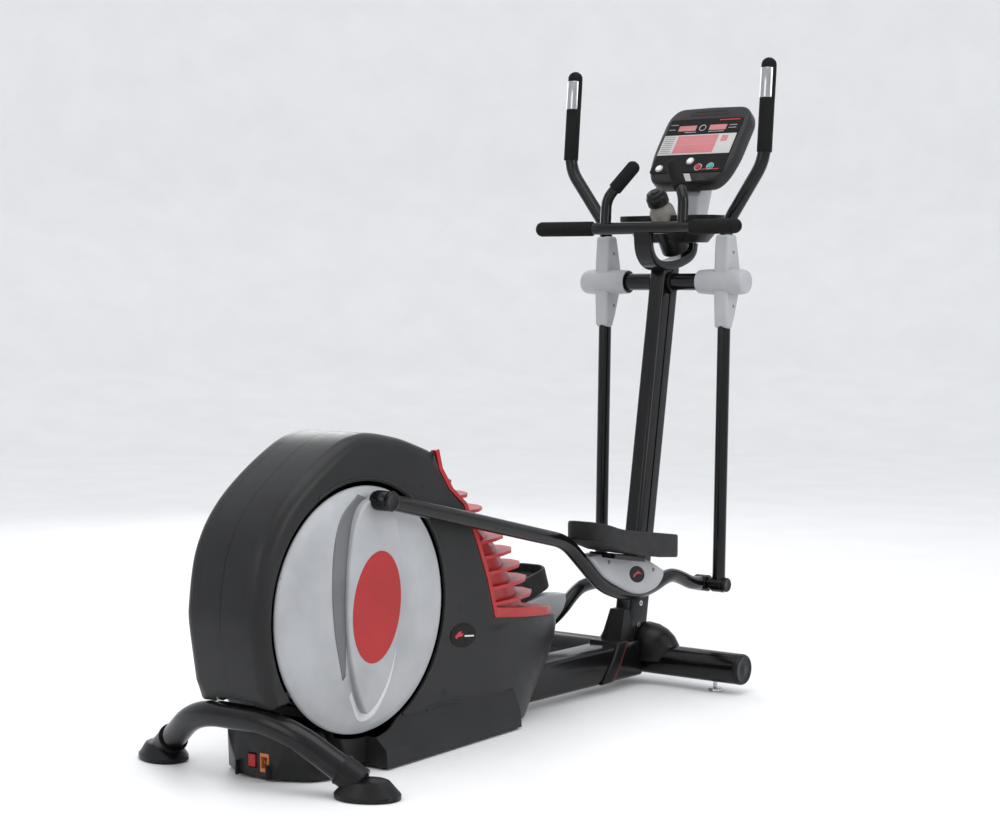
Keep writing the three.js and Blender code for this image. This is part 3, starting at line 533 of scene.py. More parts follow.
def housing_body(shrink):
    line = side_line()
    rings = []
    half = HOUSING_HALF - shrink
    steps = [(ALMOST_MIDDLE, 0.0), (half - HOUSING_ROUND, 0.0)]
    for i in range(1, 9):
        angle = math.pi / 2 * i / 8
        steps.append((half - HOUSING_ROUND * (1 - math.sin(angle)), HOUSING_ROUND * (1 - math.cos(angle))))
    for x, inset in steps:
        rings.append([at(x, y, z) for y, z in inset_line(line, inset + shrink)])
    return skin("housing_body", rings)


def housing_nose(shrink):
    """Half-elliptic in plan, longest a little below the sloping plate."""
    slope = (NOSE_FRONT[1] - NOSE_REAR[1]) / (NOSE_FRONT[0] - NOSE_REAR[0])
    half = HOUSING_HALF - shrink
    heights = smooth_curve(NOSE_TIPS, 4)
    rings = []
    for z, tip in heights:
        ring = []
        for i in range(25):
            angle = math.pi * i / 24
            x = half * math.cos(angle)
            y = NOSE_REAR[0] + (tip - shrink - NOSE_REAR[0]) * math.sin(angle)
            top = NOSE_REAR[1] + slope * (y - NOSE_REAR[0]) - shrink
            ring.append((x, y, min(z + shrink * (z < UNDERSIDE), top)))
        back_z = min(heights[-1][0], z, NOSE_REAR[1] - shrink)
        ring += [(-half, NOSE_BACK, back_z), (half, NOSE_BACK, back_z)]
        rings.append([at(max(x, ALMOST_MIDDLE), y, height) for x, y, height in ring])
    return skin("nose", rings)


def housing_skirt(shrink):
    rear, front = SKIRT_SPAN
    rings = []
    for i in range(9):
        y = rear + shrink + (front - rear - 2 * shrink) * i / 8
        narrow = SKIRT_SHRINK * i / 8
        ring = []
        for x, z in SKIRT_SIDE:
            wide = max(x - narrow, HOUSING_HALF) if x > HOUSING_HALF else x
            across = wide - shrink if x > 100 else x
            ring.append(at(across, y, z - shrink if z > 50 else z + shrink * (z < UNDERSIDE)))
        rings.append(ring)
    return skin("skirt", rings)


def block(name, x0, x1, y0, y1, z0, z1):
    outline = [(y0, z0), (y1, z0), (y1, z1), (y0, z1)]
    return slab(name, outline, lambda a, b, h: at(x0 + h, a, b), x1 - x0)


def housing_solid(shrink):
    solid = housing_body(shrink)
    combine(solid, housing_nose(shrink), "UNION")
    return combine(solid, housing_skirt(shrink), "UNION")


def make_shells():
    """A hollow right half with its openings cut, and its mirror image."""
    shell = housing_solid(0)
    combine(shell, housing_solid(SHELL_WALL), "DIFFERENCE")
    opening = [(0, DISC_OPENING), (116, DISC_OPENING)]
    combine(shell, turned("opening", at(104, CRANK.y, CRANK.z), X_AXIS, opening, 96), "DIFFERENCE")
    front = [(y - 8, z) for y, z in BORDER] + [(760, 292), (760, 760), (470, 760)]
    combine(shell, slab("front_cut", front, lambda a, b, h: at(h - 5, a, b), 111), "DIFFERENCE")
    combine(shell, block("beam_cut", -1, 46, 40, 1180, 0, 126), "DIFFERENCE")
    combine(shell, block("rear_cut", -1, 60, -140, 110, 150, 192), "DIFFERENCE")
    leg = place([(0, LEG_BEND.y, LEG_BEND.z), LEG_BEND, LEG_END])
    combine(shell, tube("leg_cut", leg, 31, 0.09), "DIFFERENCE")
    shell.name = "right_housing_shell"
    dress(shell, "charcoal_plastic", nodes=["right_shell"])
    other = shell.data.copy()
    other.transform(Matrix.Diagonal((-1, 1, 1, 1)))
    other.flip_normals()
    dress(linked("left_housing_shell", other), "charcoal_plastic", nodes=["left_shell"])


make_shells()

# ---- crank discs
DISC_FACE = 112
DISC_PROFILE = [(0, 283), (3, 286.5), (6, 287), (9, 285.5), (13, 280), (21, 255), (28, 190), (31.5, 100),
                (33, 0)]
ISLAND_LOW, ISLAND_THICK, OVAL_LOW = 130, 25, 154.9
ISLAND_ARCS = [((-20, -238), (-60, -190), (-95, -60), (-78, 90)),
               ((-78, 90), (-66, 190), (-50, 255), (15, 262)),
               ((15, 262), (86, 255), (104, 190), (106, 90)),
               ((106, 90), (112, -60), (66, -210), (-20, -238))]
OVAL = {"y": 215, "z": 378, "across": 82, "tall": 130, "tilt": -9}
# Crescents of painted light on each disc: dark grey painted shade along the island's rear wall, and a pale
# painted highlight under its tip.
PAINTED_CRESCENTS = [
    ("dark_crescent", [(-89, -150), (-116, -40), (-124, 60), (-114, 155), (-84, 224), (-22, 270)],
     [(-80, -140), (-78, -40), (-70, 60), (-60, 155), (-38, 215), (10, 258)], DARK_GREY),
    ("pale_crescent", [(-66, -190), (-30, -252), (20, -250), (62, -200), (92, -120), (102, -20)],
     [(-60, -180), (-24, -230), (14, -222), (48, -176), (76, -110), (92, -20)], HIGHLIGHT_SILVER),
]
DISC_CURVE = DISC_PROFILE[:1] + smooth_curve(DISC_PROFILE[1:], 6)
DISC_RIM, CRESCENT_LIFT = 282, 0.7


def disc_height(reach):
    """How far the disc's dished face stands out at a distance from its centre, in mm of x."""
    table = [(rad, DISC_FACE + step) for step, rad in DISC_PROFILE]
    for (outer, low), (inner, high) in zip(table, table[1:]):
        if inner <= reach <= outer:
            return low + (high - low) * (outer - reach) / (outer - inner)
    return DISC_FACE


def island_line():
    """The teardrop island on the disc, tip down, as the frame has it."""
    line = []
    for arc in ISLAND_ARCS:
        for i in range(14):
            t = i / 14
            weights = ((1 - t) ** 3, 3 * t * (1 - t) ** 2, 3 * t * t * (1 - t), t ** 3)
            line.append(tuple(sum(w * point[k] for w, point in zip(weights, arc)) for k in (0, 1)))
    return line


def on_dish(y, z, lift):
    """The x of a point just above the dished face, from its place relative to the disc's centre."""
    return disc_height(min(math.hypot(y, z), DISC_RIM)) + lift


def make_disc(side):
    """The dished disc with its raised island, the crescents of painted shade and painted highlight beside it,
    and the red oval.
    """
    way = SIDES[side]

    def place_disc(y, z, x):
        """The cranks stand opposite each other, so the left face is turned half round."""
        return at(x * way, CRANK.y + y * way, CRANK.z + z * way)

    dish = turned(f"{side}_disc", at(DISC_FACE * way, CRANK.y, CRANK.z), X_AXIS * way, DISC_CURVE, 160, 50)
    dress(dish, "silver_plastic", "crank", [f"{side}_crank_disc"])
    sided(side, "disc_hub", (98, CRANK.y, CRANK.z), [(0, 38), (2, 40), (13.8, 40)], "silver_plastic", "crank")
    island = slab(f"{side}_disc_island", island_line(), lambda a, b, h: place_disc(a, b, ISLAND_LOW + h),
                  ISLAND_THICK, 6, 6, 50)
    dress(island, "silver_plastic", "crank")
    oval = ellipse(OVAL["y"] - CRANK.y, OVAL["z"] - CRANK.z, OVAL["across"], OVAL["tall"], OVAL["tilt"], 72)
    inlay = slab(f"{side}_disc_oval", oval, lambda a, b, h: place_disc(a, b, OVAL_LOW + h), 0.8)
    dress(inlay, "red_plastic", "crank")
    paint_disc_crescents(side, place_disc)


def paint_disc_crescents(side, place_disc):
    """Painted shade: a dark crescent beside the island's rear edge. Painted highlight: a pale one under its
    tip.
    """
    for name, outer, inner, material in PAINTED_CRESCENTS:
        strips = []
        for (y0, z0), (y1, z1) in zip(smooth_curve(outer, 8), smooth_curve(inner, 8)):
            strip = [(y0 + (y1 - y0) * step / 8, z0 + (z1 - z0) * step / 8) for step in range(9)]
            strips.append([place_disc(y, z, on_dish(y, z, CRESCENT_LIFT)) for y, z in strip])
        bm = bmesh.new()
        bridge(bm, strips, closed=False)
        band = object_of(f"{side}_{name}", bm, 60)
        thick = band.modifiers.new("thick", "SOLIDIFY")
        thick.thickness = 0.0012
        thick.offset = 0
        dress(band, "silver_plastic", "crank", material=material)


for side in SIDES:
    make_disc(side)


# ---- steel tubes
STABILIZER_LINE = [LEG_END, LEG_BEND, mirrored(LEG_BEND, -1), mirrored(LEG_END, -1)]
ARM_CORNERS = [(PIN_Y, PIN_Z), (930, 462), (1095, 330), (1205, 294), (1330, 294), (1425, 322), (1480, 312),
               (1550, 284), (KNEE_Y, KNEE_Z)]
ARM_TUBE = 19
ARM_REAR_X, ARM_FRONT_X = 186, 150
ARM_X = 203
HANDLE_BEND, HANDLE_TIP = Vector((328, 1628, 1457)), Vector((328, 1652, 1721))
BAR_Y, BAR_Z, BAR_RADIUS, BAR_CORNER, BAR_HALF, BAR_END_Y = 1525, 1277, 17, 140, 335, 1483
HORN = [Vector((130, 1525, 1277)), Vector((130, 1532, 1362)), Vector((70, 1570, 1446))]
YOKE = [(1525, 1268), (1530, 1205), (1575, 1169), (1665, 1174), (1751, 1202), (1759, 1238)]
PULSE_SPAN, PULSE_ANGLE, PULSE_OUTER, PULSE_INNER = (92, 10), 62, 21.5, 20.4
SCREW_SUNK = 0.0016
FRONT_TUBE = {"y": 1510, "z": 67, "radius": 42.5, "half": 335}


def arm_x(y):
    """How far out the pedal arm runs at y; it comes in towards the front."""
    return ARM_REAR_X + (ARM_FRONT_X - ARM_REAR_X) * (y - PIN_Y) / (KNEE_Y - PIN_Y)


def settled(x, y, z, side):
    """From the arm as drawn, raised on the right, to its place at rest on that side."""
    turn = math.radians(ARM_PITCH[side])
    reach, rise = y - KNEE_Y, z - KNEE_Z
    knee = KNEE[side]
    return at(x * SIDES[side], knee.y + reach * math.cos(turn) - rise * math.sin(turn),
              knee.z + reach * math.sin(turn) + rise * math.cos(turn))


def make_frame_tubes():
    rear = tube("rear_tube", place(STABILIZER_LINE), 30, 0.09, 40)
    dress(rear, "black_paint", nodes=["rear_stabilizer"])
    y, z, radius, half = (FRONT_TUBE[key] for key in ("y", "z", "radius", "half"))
    profile = [(0, radius - 1), (1, radius), (2 * half - 1, radius), (2 * half, radius - 1)]
    front = turned("front_tube", at(-half, y, z), X_AXIS, profile, 64)
    dress(front, "black_paint", nodes=["front_stabilizer"])
    cap = [(0, radius), (6, radius), (10, radius - 0.8), (13, radius - 2.6), (14.7, radius - 6),
           (13.4, radius - 9), (13.2, 12), (13.8, 10), (13.8, 0)]
    for side in SIDES:
        sided(side, "end_cap", (half + 0.3, y, z), cap, "black_plastic", "machine", [f"{side}_front_cap"], 64)


def bar_point(x):
    sweep = (BAR_END_Y - BAR_Y) / (BAR_HALF - BAR_CORNER)
    return Vector((x, BAR_Y + sweep * max(abs(x) - BAR_CORNER, 0), BAR_Z))


def grip(name, start, end, radius, body, node):
    """A foam sleeve with a rounded far end that has a bolt hole."""
    way = end - start
    length = way.length
    profile = [(0, radius - 2.5), (0.8, radius - 0.8), (2.5, radius)]
    profile += [(length * t, radius) for t in (0.25, 0.5, 0.75)]
    for i in range(7):
        angle = math.pi / 2 * i / 8
        profile.append((length + radius * math.sin(angle) * 0.93, radius * math.cos(angle)))
    profile += [(length + radius * 0.9, 6.5), (length + radius * 0.8, 5.5), (length + radius * 0.78, 0)]
    sleeve = turned(name, at(*start), way, profile, 40)
    dress(sleeve, "grip_foam", body, [node])


def make_handlebar():
    corners = [bar_point(x) for x in (-BAR_HALF, -BAR_CORNER, BAR_CORNER, BAR_HALF)]
    bar = tube("cross_handlebar", place(corners), BAR_RADIUS, 0.025, 32)
    dress(bar, "black_paint", nodes=["fixed_handlebar"])
    for side, way in SIDES.items():
        line = [mirrored(point, way) for point in HORN]
        horn = tube(f"{side}_horn", place(line), 15.5, 0.026, 28)
        dress(horn, "black_paint")
        foot, end = line[1].lerp(line[2], 0.3), line[1].lerp(line[2], 1.04)
        grip(f"{side}_horn_sleeve", foot, end, 19.5, "machine", f"{side}_horn_grip")
        start, stop = bar_point(168 * way), bar_point((BAR_HALF + 8) * way)
        stop = stop + (start - stop).normalized() * 20.5
        grip(f"{side}_bar_sleeve", start, stop, 21, "machine", f"{side}_bar_grip")
    make_yoke()


def make_yoke():
    """The flat bent strap that carries the bar round in front of the mast."""
    line = filleted([Vector((0, y, z)) for y, z in YOKE], 45)
    section = [(-26, -10), (-24, -12.5), (24, -12.5), (26, -10), (26, 10), (24, 12.5), (-24, 12.5), (-26, 10)]
    rings = []
    for point, way in zip(line, directions(line)):
        normal = Vector((0, -way.z, way.y))
        spots = [(x, point + normal * h) for x, h in section]
        rings.append([at(x, spot.y, spot.z) for x, spot in spots])
    dress(skin("yoke_strap", rings, 50), "black_paint")


def make_swing_arm(side):
    way = SIDES[side]
    body = f"{side}_arm"
    knee = KNEE[side]
    line = [(ARM_X, knee.y, KNEE_Z), (ARM_X, PIVOT_Y, PIVOT_Z), (ARM_X, 1636, 1282), HANDLE_BEND,
            (HANDLE_BEND.x, 1650.5, 1703)]
    arm = tube(f"{side}_arm_tube", place([mirrored(point, way) for point in line]), 18, 0.042, 36)
    dress(arm, "black_paint", body, [f"{side}_swing_arm"])
    boss = [(0, 21), (1, 22), (34, 22), (35, 21)]
    sided(side, "arm_boss", (186, knee.y, KNEE_Z), boss, "black_paint", body)
    bend, tip = mirrored(HANDLE_BEND, way), mirrored(HANDLE_TIP, way)
    foot = bend.lerp(tip, 0.09)
    grip(f"{side}_handle_sleeve", foot, tip, 21, body, f"{side}_handle_grip")
    make_pulse_plate(side, foot, tip)


def make_pulse_plate(side, foot, tip):
    """Two curved metal pads under the handle's cap, on its rear and front."""
    length = (tip - foot).length
    way = (tip - foot).normalized()
    low, high = length - PULSE_SPAN[0], length - PULSE_SPAN[1]
    across = (REARWARD - way * REARWARD.dot(way)).normalized()
    lateral = way.cross(across)
    for name, centre in (("rear", 0.0), ("front", math.pi)):
        angles = [centre + math.radians(-PULSE_ANGLE + 2 * PULSE_ANGLE * i / 16) for i in range(17)]
        rings = []
        for step in (low, low + 1.2, high - 1.2, high):
            edge = 0.3 if step in (low, high) else 0.0
            section = [(PULSE_OUTER - edge, angle) for angle in angles]
            section += [(PULSE_INNER, angle) for angle in reversed(angles)]
            rings.append(place([
                foot + way * step + (across * math.cos(angle) + lateral * math.sin(angle)) * radius
                for radius, angle in section]))
        plate = skin(f"{side}_pulse_{name}", rings, 50)
        dress(plate, "steel", f"{side}_arm", material=CHROME)


def make_pivot(side):
    """The silver barrel and upright over the swing arm's pivot."""
    way = SIDES[side]
    body = f"{side}_arm"
    barrel = [(0, 31.5), (0.5, 33), (6, 33.8), (30, 35.6), (60, 36), (118, 36), (136, 35.2), (146, 33.6),
              (150, 31.5), (152.4, 28), (153, 22), (153, 0)]
    sided(side, "pivot_barrel", (122, PIVOT_Y, PIVOT_Z), barrel, "silver_plastic", body,
          [f"{side}_pivot_cover"], 72)
    ring = [(0, 25), (0, 31), (2, 31), (2, 25)]
    sided(side, "pivot_ring", (120.8, PIVOT_Y, PIVOT_Z), ring, "black_plastic", body)
    outline = [(1610, 998), (1636, 993), (1652, 1030), (1674, 1093), (1684, 1134), (1676, 1178), (1667, 1218),
               (1658, 1258), (1614, 1258), (1609, 1196), (1606, 1134), (1607, 1066)]
    upright = slab(f"{side}_pivot_upright", outline, lambda a, b, h: at((180 + h) * way, a, b), 46, 9, 5)
    dress(upright, "silver_plastic", body)
    outline = [(1664, 1062), (1682, 1112), (1684.6, 1134), (1681, 1160), (1671, 1206), (1665, 1206),
               (1674, 1160), (1677, 1134), (1674, 1112), (1657, 1062)]
    seam = slab(f"{side}_pivot_seam", outline, lambda a, b, h: at((201.2 + h) * way, a, b), 3.6)
    dress(seam, "black_plastic", body)
    for z in (1058, 1208):
        for x, out in ((226, 1), (180, -1)):
            spot = at((x + 0.1 * out) * way, 1640, z)
            screw(f"{side}_pivot_screw_{z}_{x}", spot, X_AXIS * (out * way), 4.2, body)


def screw(name, spot, way, radius, body, material=None):
    """A small recessed screw head with a round socket."""
    spot = spot - way.normalized() * SCREW_SUNK
    profile = [(0, radius), (1.6, radius), (2.0, radius - 0.4), (2.0, radius * 0.55), (0.9, radius * 0.5),
               (0.9, 0)]
    head = turned(name, spot, way, profile, 24, 25)
    dress(head, "steel", body, material=material or FINISH["black_plastic"])


def make_front_pivot(side):
    pin = [(0, 14), (2, 16.5), (95, 16.5), (95, 19), (96, 20), (104, 20), (106.4, 18), (107, 14), (105, 8),
           (105, 0)]
    sided(side, "front_pin", (127, KNEE[side].y, KNEE_Z), pin, "black_paint", f"{side}_knuckle",
          [f"{side}_front_pivot"])


def make_pedal_arm(side):
    body = f"{side}_pedal_link"
    corners = [settled(arm_x(y), y, z, side) for y, z in ARM_CORNERS]
    arm = tube(f"{side}_pedal_tube", corners, ARM_TUBE, 0.048, 36)
    dress(arm, "black_paint", body, [f"{side}_pedal_arm"])
    way = X_AXIS * SIDES[side]
    boss = [(0, 22), (1.5, 23.5), (36, 23.5), (37, 23), (38, 22.2), (39, 23.5), (46, 23.5), (48.3, 22),
            (49, 19), (48.2, 17), (48.2, 0)]
    dress(turned(f"{side}_crank_boss", settled(157, PIN_Y, PIN_Z, side), way, boss, 56), "black_paint", body)
    sleeve = [(0, 22), (1, 23), (39, 23), (40, 22)]
    dress(turned(f"{side}_knee_sleeve", settled(130, KNEE_Y, KNEE_Z, side), way, sleeve), "black_paint", body)


def make_crank_pin(side):
    """The short pin between the disc's island and the arm's boss; it turns with the disc."""
    y, z = PIN_Y, PIN_Z
    if side == "left":
        y, z = 2 * CRANK.y - PIN_Y, 2 * CRANK.z - PIN_Z
    profile = [(0, 21), (3.4, 21), (4.4, 20), (6.2, 20), (6.2, 0)]
    sided(side, "crank_pin", (150, y, z), profile, "black_paint", "crank")


FOOT_RINGS = [(74, 54, 0), (75.6, 55.6, 1.5), (76, 56, 4), (76, 56, 11), (74, 54, 14), (66, 49, 22),
              (57, 44, 32), (50, 40, 39), (45, 36, 41)]
FOOT_X, FOOT_Y, FOOT_TURN = 322, -9, 22


def make_rear_foot(side):
    """A flared oval foot and the sleeve that holds the end of the rear tube."""
    way = SIDES[side]
    rings = []
    for half, depth, z in FOOT_RINGS:
        outline = ellipse(FOOT_X, FOOT_Y, half, depth, FOOT_TURN, 72)
        rings.append([at(x * way, y, z) for x, y in outline])
    foot = skin(f"{side}_foot_flare", rings, 28)
    dress(foot, "black_plastic", nodes=[f"{side}_rear_foot"])
    low, high = (mirrored(LEG_BEND.lerp(LEG_END, t), way) for t in (0.76, 0.99))
    length = (high - low).length
    profile = [(0, 30.2), (0, 34), (1.5, 35), (length, 35), (length, 20)]
    dress(turned(f"{side}_foot_sleeve", at(*low), high - low, profile, 56), "black_plastic")


for side in SIDES:
    make_rear_foot(side)
make_frame_tubes()
make_handlebar()
for side in SIDES:
    make_swing_arm(side)
    make_pivot(side)
    make_front_pivot(side)
    make_pedal_arm(side)
    make_crank_pin(side)


# ---- mast
MAST_LOW, MAST_HIGH = (1483, 250), (1636, 1157)
MAST_HALF, MAST_DEPTH = 25, 84


def mast_y(z):
    """The y of the mast's middle line at a height."""
    return MAST_LOW[0] + (MAST_HIGH[0] - MAST_LOW[0]) * (z - MAST_LOW[1]) / (MAST_HIGH[1] - MAST_LOW[1])


def make_mast():
    """A leaning rounded-box post with a groove down both sides."""
    half, depth = MAST_HALF, MAST_DEPTH / 2
    section = box_line(-half, half, -depth, depth, 11, 6)
    grooved = []
    for (x0, y0), (x1, y1) in zip(section, section[1:] + section[:1]):
        grooved.append((x0, y0))
        if abs(y1 - y0) > MAST_DEPTH / 3:  # only the two long sides are grooved
            way = 1 if y1 > y0 else -1
            inner = x0 - 3 * (1 if x0 > 0 else -1)
            grooved += [(x0, -3.4 * way), (inner, -2.6 * way), (inner, 2.6 * way), (x0, 3.4 * way)]
    for name, outline, levels, nodes in (
            ("mast_post", grooved, ((126, 0), (1162, 0), (1165, -1.2), (1166, -3)), ["mast"]),
            ("mast_foot", section, ((125.5, 4), (258, 4), (262, 2)), [])):
        rings = []
        for z, grow in levels:
            wide, deep = 1 + grow / half, 1 + grow / depth
            rings.append([at(x * wide, mast_y(z) + y * deep, z) for x, y in outline])
        dress(skin(name, rings, 30), "black_paint", nodes=nodes)
    axle = [(0, 23), (1, 24), (515, 24), (516, 23)]
    dress(turned("pivot_axle", at(-258, PIVOT_Y, PIVOT_Z), X_AXIS, axle, 56),
          "black_paint", nodes=["crossbar_axle"])


make_mast()

# ---- pedals and their covers
COVER_TOP = [(1005, 418), (1060, 419), (1130, 412), (1200, 401), (1280, 380), (1358, 344)]
COVER_LOW = [(1358, 344), (1352, 322), (1320, 300), (1262, 291), (1205, 300), (1130, 330), (1070, 362),
             (1005, 418)]


def make_arm_cover(side):
    """The lens-shaped silver cover over the arm's elbow, with screws and a badge."""
    body = f"{side}_pedal_link"
    outline = smooth_curve(COVER_TOP, 6)[:-1] + smooth_curve(COVER_LOW, 5)[:-1]
    centre = Vector((1190, 358))
    rings = []
    for depth, inset in ((0, 9), (1.5, 5), (4, 2), (8, 0), (44, 0), (48, 2), (50.5, 5), (52, 9)):
        ring = []
        for y, z in outline:
            reach = Vector((y, z)) - centre
            shrink = max(0.0, 1 - inset / max(reach.length, 1) * 1.1)
            spot = centre + Vector((reach.x * shrink, reach.y * (shrink - inset * 0.004)))
            ring.append(settled(138 + depth, spot.x, spot.y, side))
        rings.append(ring)
    cover = skin(f"{side}_cover_shell", rings, 50)
    dress(cover, "silver_plastic", body, [f"{side}_arm_cover"])
    for y, z in ((1092, 394), (1300, 352)):
        screw(f"{side}_cover_screw_{y}", settled(190.4, y, z, side), X_AXIS * SIDES[side], 5, body)
    badge = slab(f"{side}_cover_badge", ellipse(1222, 348, 36, 22, -14, 40),
                 lambda a, b, h: settled(189.2 + h, a, b, side), 1.6, 0.5, 2)
    dress(badge, "overlay_plastic", body)
    mark = slab(f"{side}_cover_mark", [(1204, 340), (1222, 350), (1244, 346), (1226, 357), (1206, 349)],
                lambda a, b, h: settled(190.6 + h, a, b, side), 0.6)
    dress(mark, "red_plastic", body, material=MARK_RED)


PEDAL_TOP = [(947, 516), (1022, 494), (1082, 481), (1187, 468), (1322, 450)]
PEDAL_LOW = [(947, 468), (1062, 428), (1202, 402), (1322, 390)]
PEDAL_INNER, PEDAL_MIDDLE, PEDAL_OUTER = 140, 207.5, 275
PEDAL_CORNER, PEDAL_RIM, PEDAL_SINK = 46, 9, 24
RIB_COUNT, RIB_START, RIB_STEP = 15, 985, 21.5


def along_line(line, y):
    """The height of a line of (y, z) points at y."""
    for (y0, z0), (y1, z1) in zip(line, line[1:]):
        if y <= y1 or (y1, z1) == line[-1]:
            return z0 + (z1 - z0) * (max(y, y0) - y0) / (y1 - y0)
    return line[-1][1]


def pedal_plan(shrink):
    """The pedal's rounded rectangle shrunk by mm, with more points along its two long sides."""
    x0, x1 = PEDAL_INNER + shrink, PEDAL_OUTER - shrink
    y0, y1 = PEDAL_TOP[0][0] + shrink, PEDAL_TOP[-1][0] - shrink
    r = max(PEDAL_CORNER - shrink, 4)
    corners = box_line(x0, x1, y0, y1, r, 8)
    points = []
    for half, x, far in ((corners[:18], x0, y0 + r), (corners[18:], x1, y1 - r)):
        near = half[-1][1]
        points += half + [(x, near + (far - near) * i / 12) for i in range(1, 12)]
    return points


def make_pedal(side):
    """A shallow tray: raised wall all round, sunk ribbed tread, closed underneath."""
    body = f"{side}_pedal_link"
    layers = [(3, PEDAL_LOW, 0), (0.8, PEDAL_LOW, 2.5), (0, PEDAL_LOW, 6), (0, PEDAL_TOP, -6),
              (0.8, PEDAL_TOP, -2), (3, PEDAL_TOP, 0), (PEDAL_RIM - 2.5, PEDAL_TOP, 0),
              (PEDAL_RIM - 0.5, PEDAL_TOP, -2), (PEDAL_RIM, PEDAL_TOP, -6),
              (PEDAL_RIM + 1.5, PEDAL_TOP, -PEDAL_SINK)]
    bm = bmesh.new()
    grid = bridge(bm, [[settled(x, y, along_line(line, y) + lift, side) for x, y in pedal_plan(shrink)]
                       for shrink, line, lift in layers])
    bm.faces.new(grid[0])
    bm.faces.new(grid[-1])
    piece = object_of(f"{side}_pedal_tray", bm, 40)
    triangulate = piece.modifiers.new("facets", "TRIANGULATE")
    triangulate.ngon_method = "BEAUTY"
    dress(piece, "tread_rubber", body, [f"{side}_pedal"])
    for i in range(RIB_COUNT):
        y = RIB_START + RIB_STEP * i
        z = along_line(PEDAL_TOP, y) - PEDAL_SINK
        width = 40 if i in (0, RIB_COUNT - 1) else 52
        section = [(y - 4, z - 1.5), (y + 4, z - 1.5), (y + 2.6, z + 2.6), (y - 2.6, z + 2.6)]
        rib = slab(f"{side}_tread_rib_{i}", section,
                   lambda a, b, h, w=width: settled(PEDAL_MIDDLE - w + h, a, b, side), 2 * width, 0.6, 2)
        dress(rib, "tread_rubber", body)
    bracket = slab(f"{side}_pedal_bracket", [(1060, 409.5), (1200, 385.5), (1200, 399), (1060, 423.5)],
                   lambda a, b, h: settled(150 + h, a, b, side), 82, 2, 2)
    dress(bracket, "black_paint", body)
    for y in (1085, 1175):
        z = along_line([(1060, 411), (1200, 387)], y) - 0.5
        spot = settled(215, y, z, side)
        down = settled(215, y, z - 10, side) - spot
        screw(f"{side}_bracket_bolt_{y}", spot, down, 7, body, FINISH["steel"])


for side in SIDES:
    make_arm_cover(side)
    make_pedal(side)


# ---- console
CONSOLE_Y, CONSOLE_Z, CONSOLE_LEAN, CONSOLE_HALF = 1718, 1412, 36.7, 142
CONSOLE_CORNERS = [(-104, 0), (104, 0), (130, 40), (142, 110), (142, 244), (118, 281), (0, 284), (-118, 281),
                   (-142, 244), (-142, 110), (-130, 40)]
CONSOLE_RINGS = [(-52, 12), (-49, 6), (-44, 2), (-38, 0), (-9, 0), (-5, 1), (-2, 3.5), (0, 8)]
LEGENDS = [(45, 115, 226), (50, 110, 42), (-118, -92, 214), (-118, -96, 196), (86, 112, 206), (86, 112, 196),
           (-60, -20, 184), (22, 74, 184)]
KEY_RINGS = {"stop": (38, 52), "start": (78, 54), "up": (2, 76), "down": (-96, 52)}


def on_console(x, v, out):
    """From the console's own axes (across, up its face, out of its face) to the frame."""
    turn = math.radians(90 - CONSOLE_LEAN)
    return at(x, CONSOLE_Y + v * math.cos(turn) - out * math.sin(turn),
              CONSOLE_Z + v * math.sin(turn) + out * math.cos(turn))


def console_plate(name, outline, low, high, slot, material=None, bevel=0.0, nodes=()):
    """A plate on the console's face, from low to high above it."""
    piece = slab(name, outline, lambda a, b, h: on_console(a, b, low + h), high - low, bevel)
    dress(piece, slot, nodes=nodes, material=material)


def console_ring(name, x, v, profile):
    """A pale ring on the console's face."""
    piece = turned(name, on_console(x, v, 2.3), on_console(0, 0, 1) - on_console(0, 0, 0), profile, 40)
    dress(piece, "white_plastic", material=STRIP)


def console_outline():
    closed = [Vector((x, v, 0)) for x, v in CONSOLE_CORNERS]
    start = closed[0].lerp(closed[1], 0.5)
    line = filleted([start] + closed[1:] + [closed[0], start], 26, 5)
    return [(point.x, point.y) for point in line[:-1]]


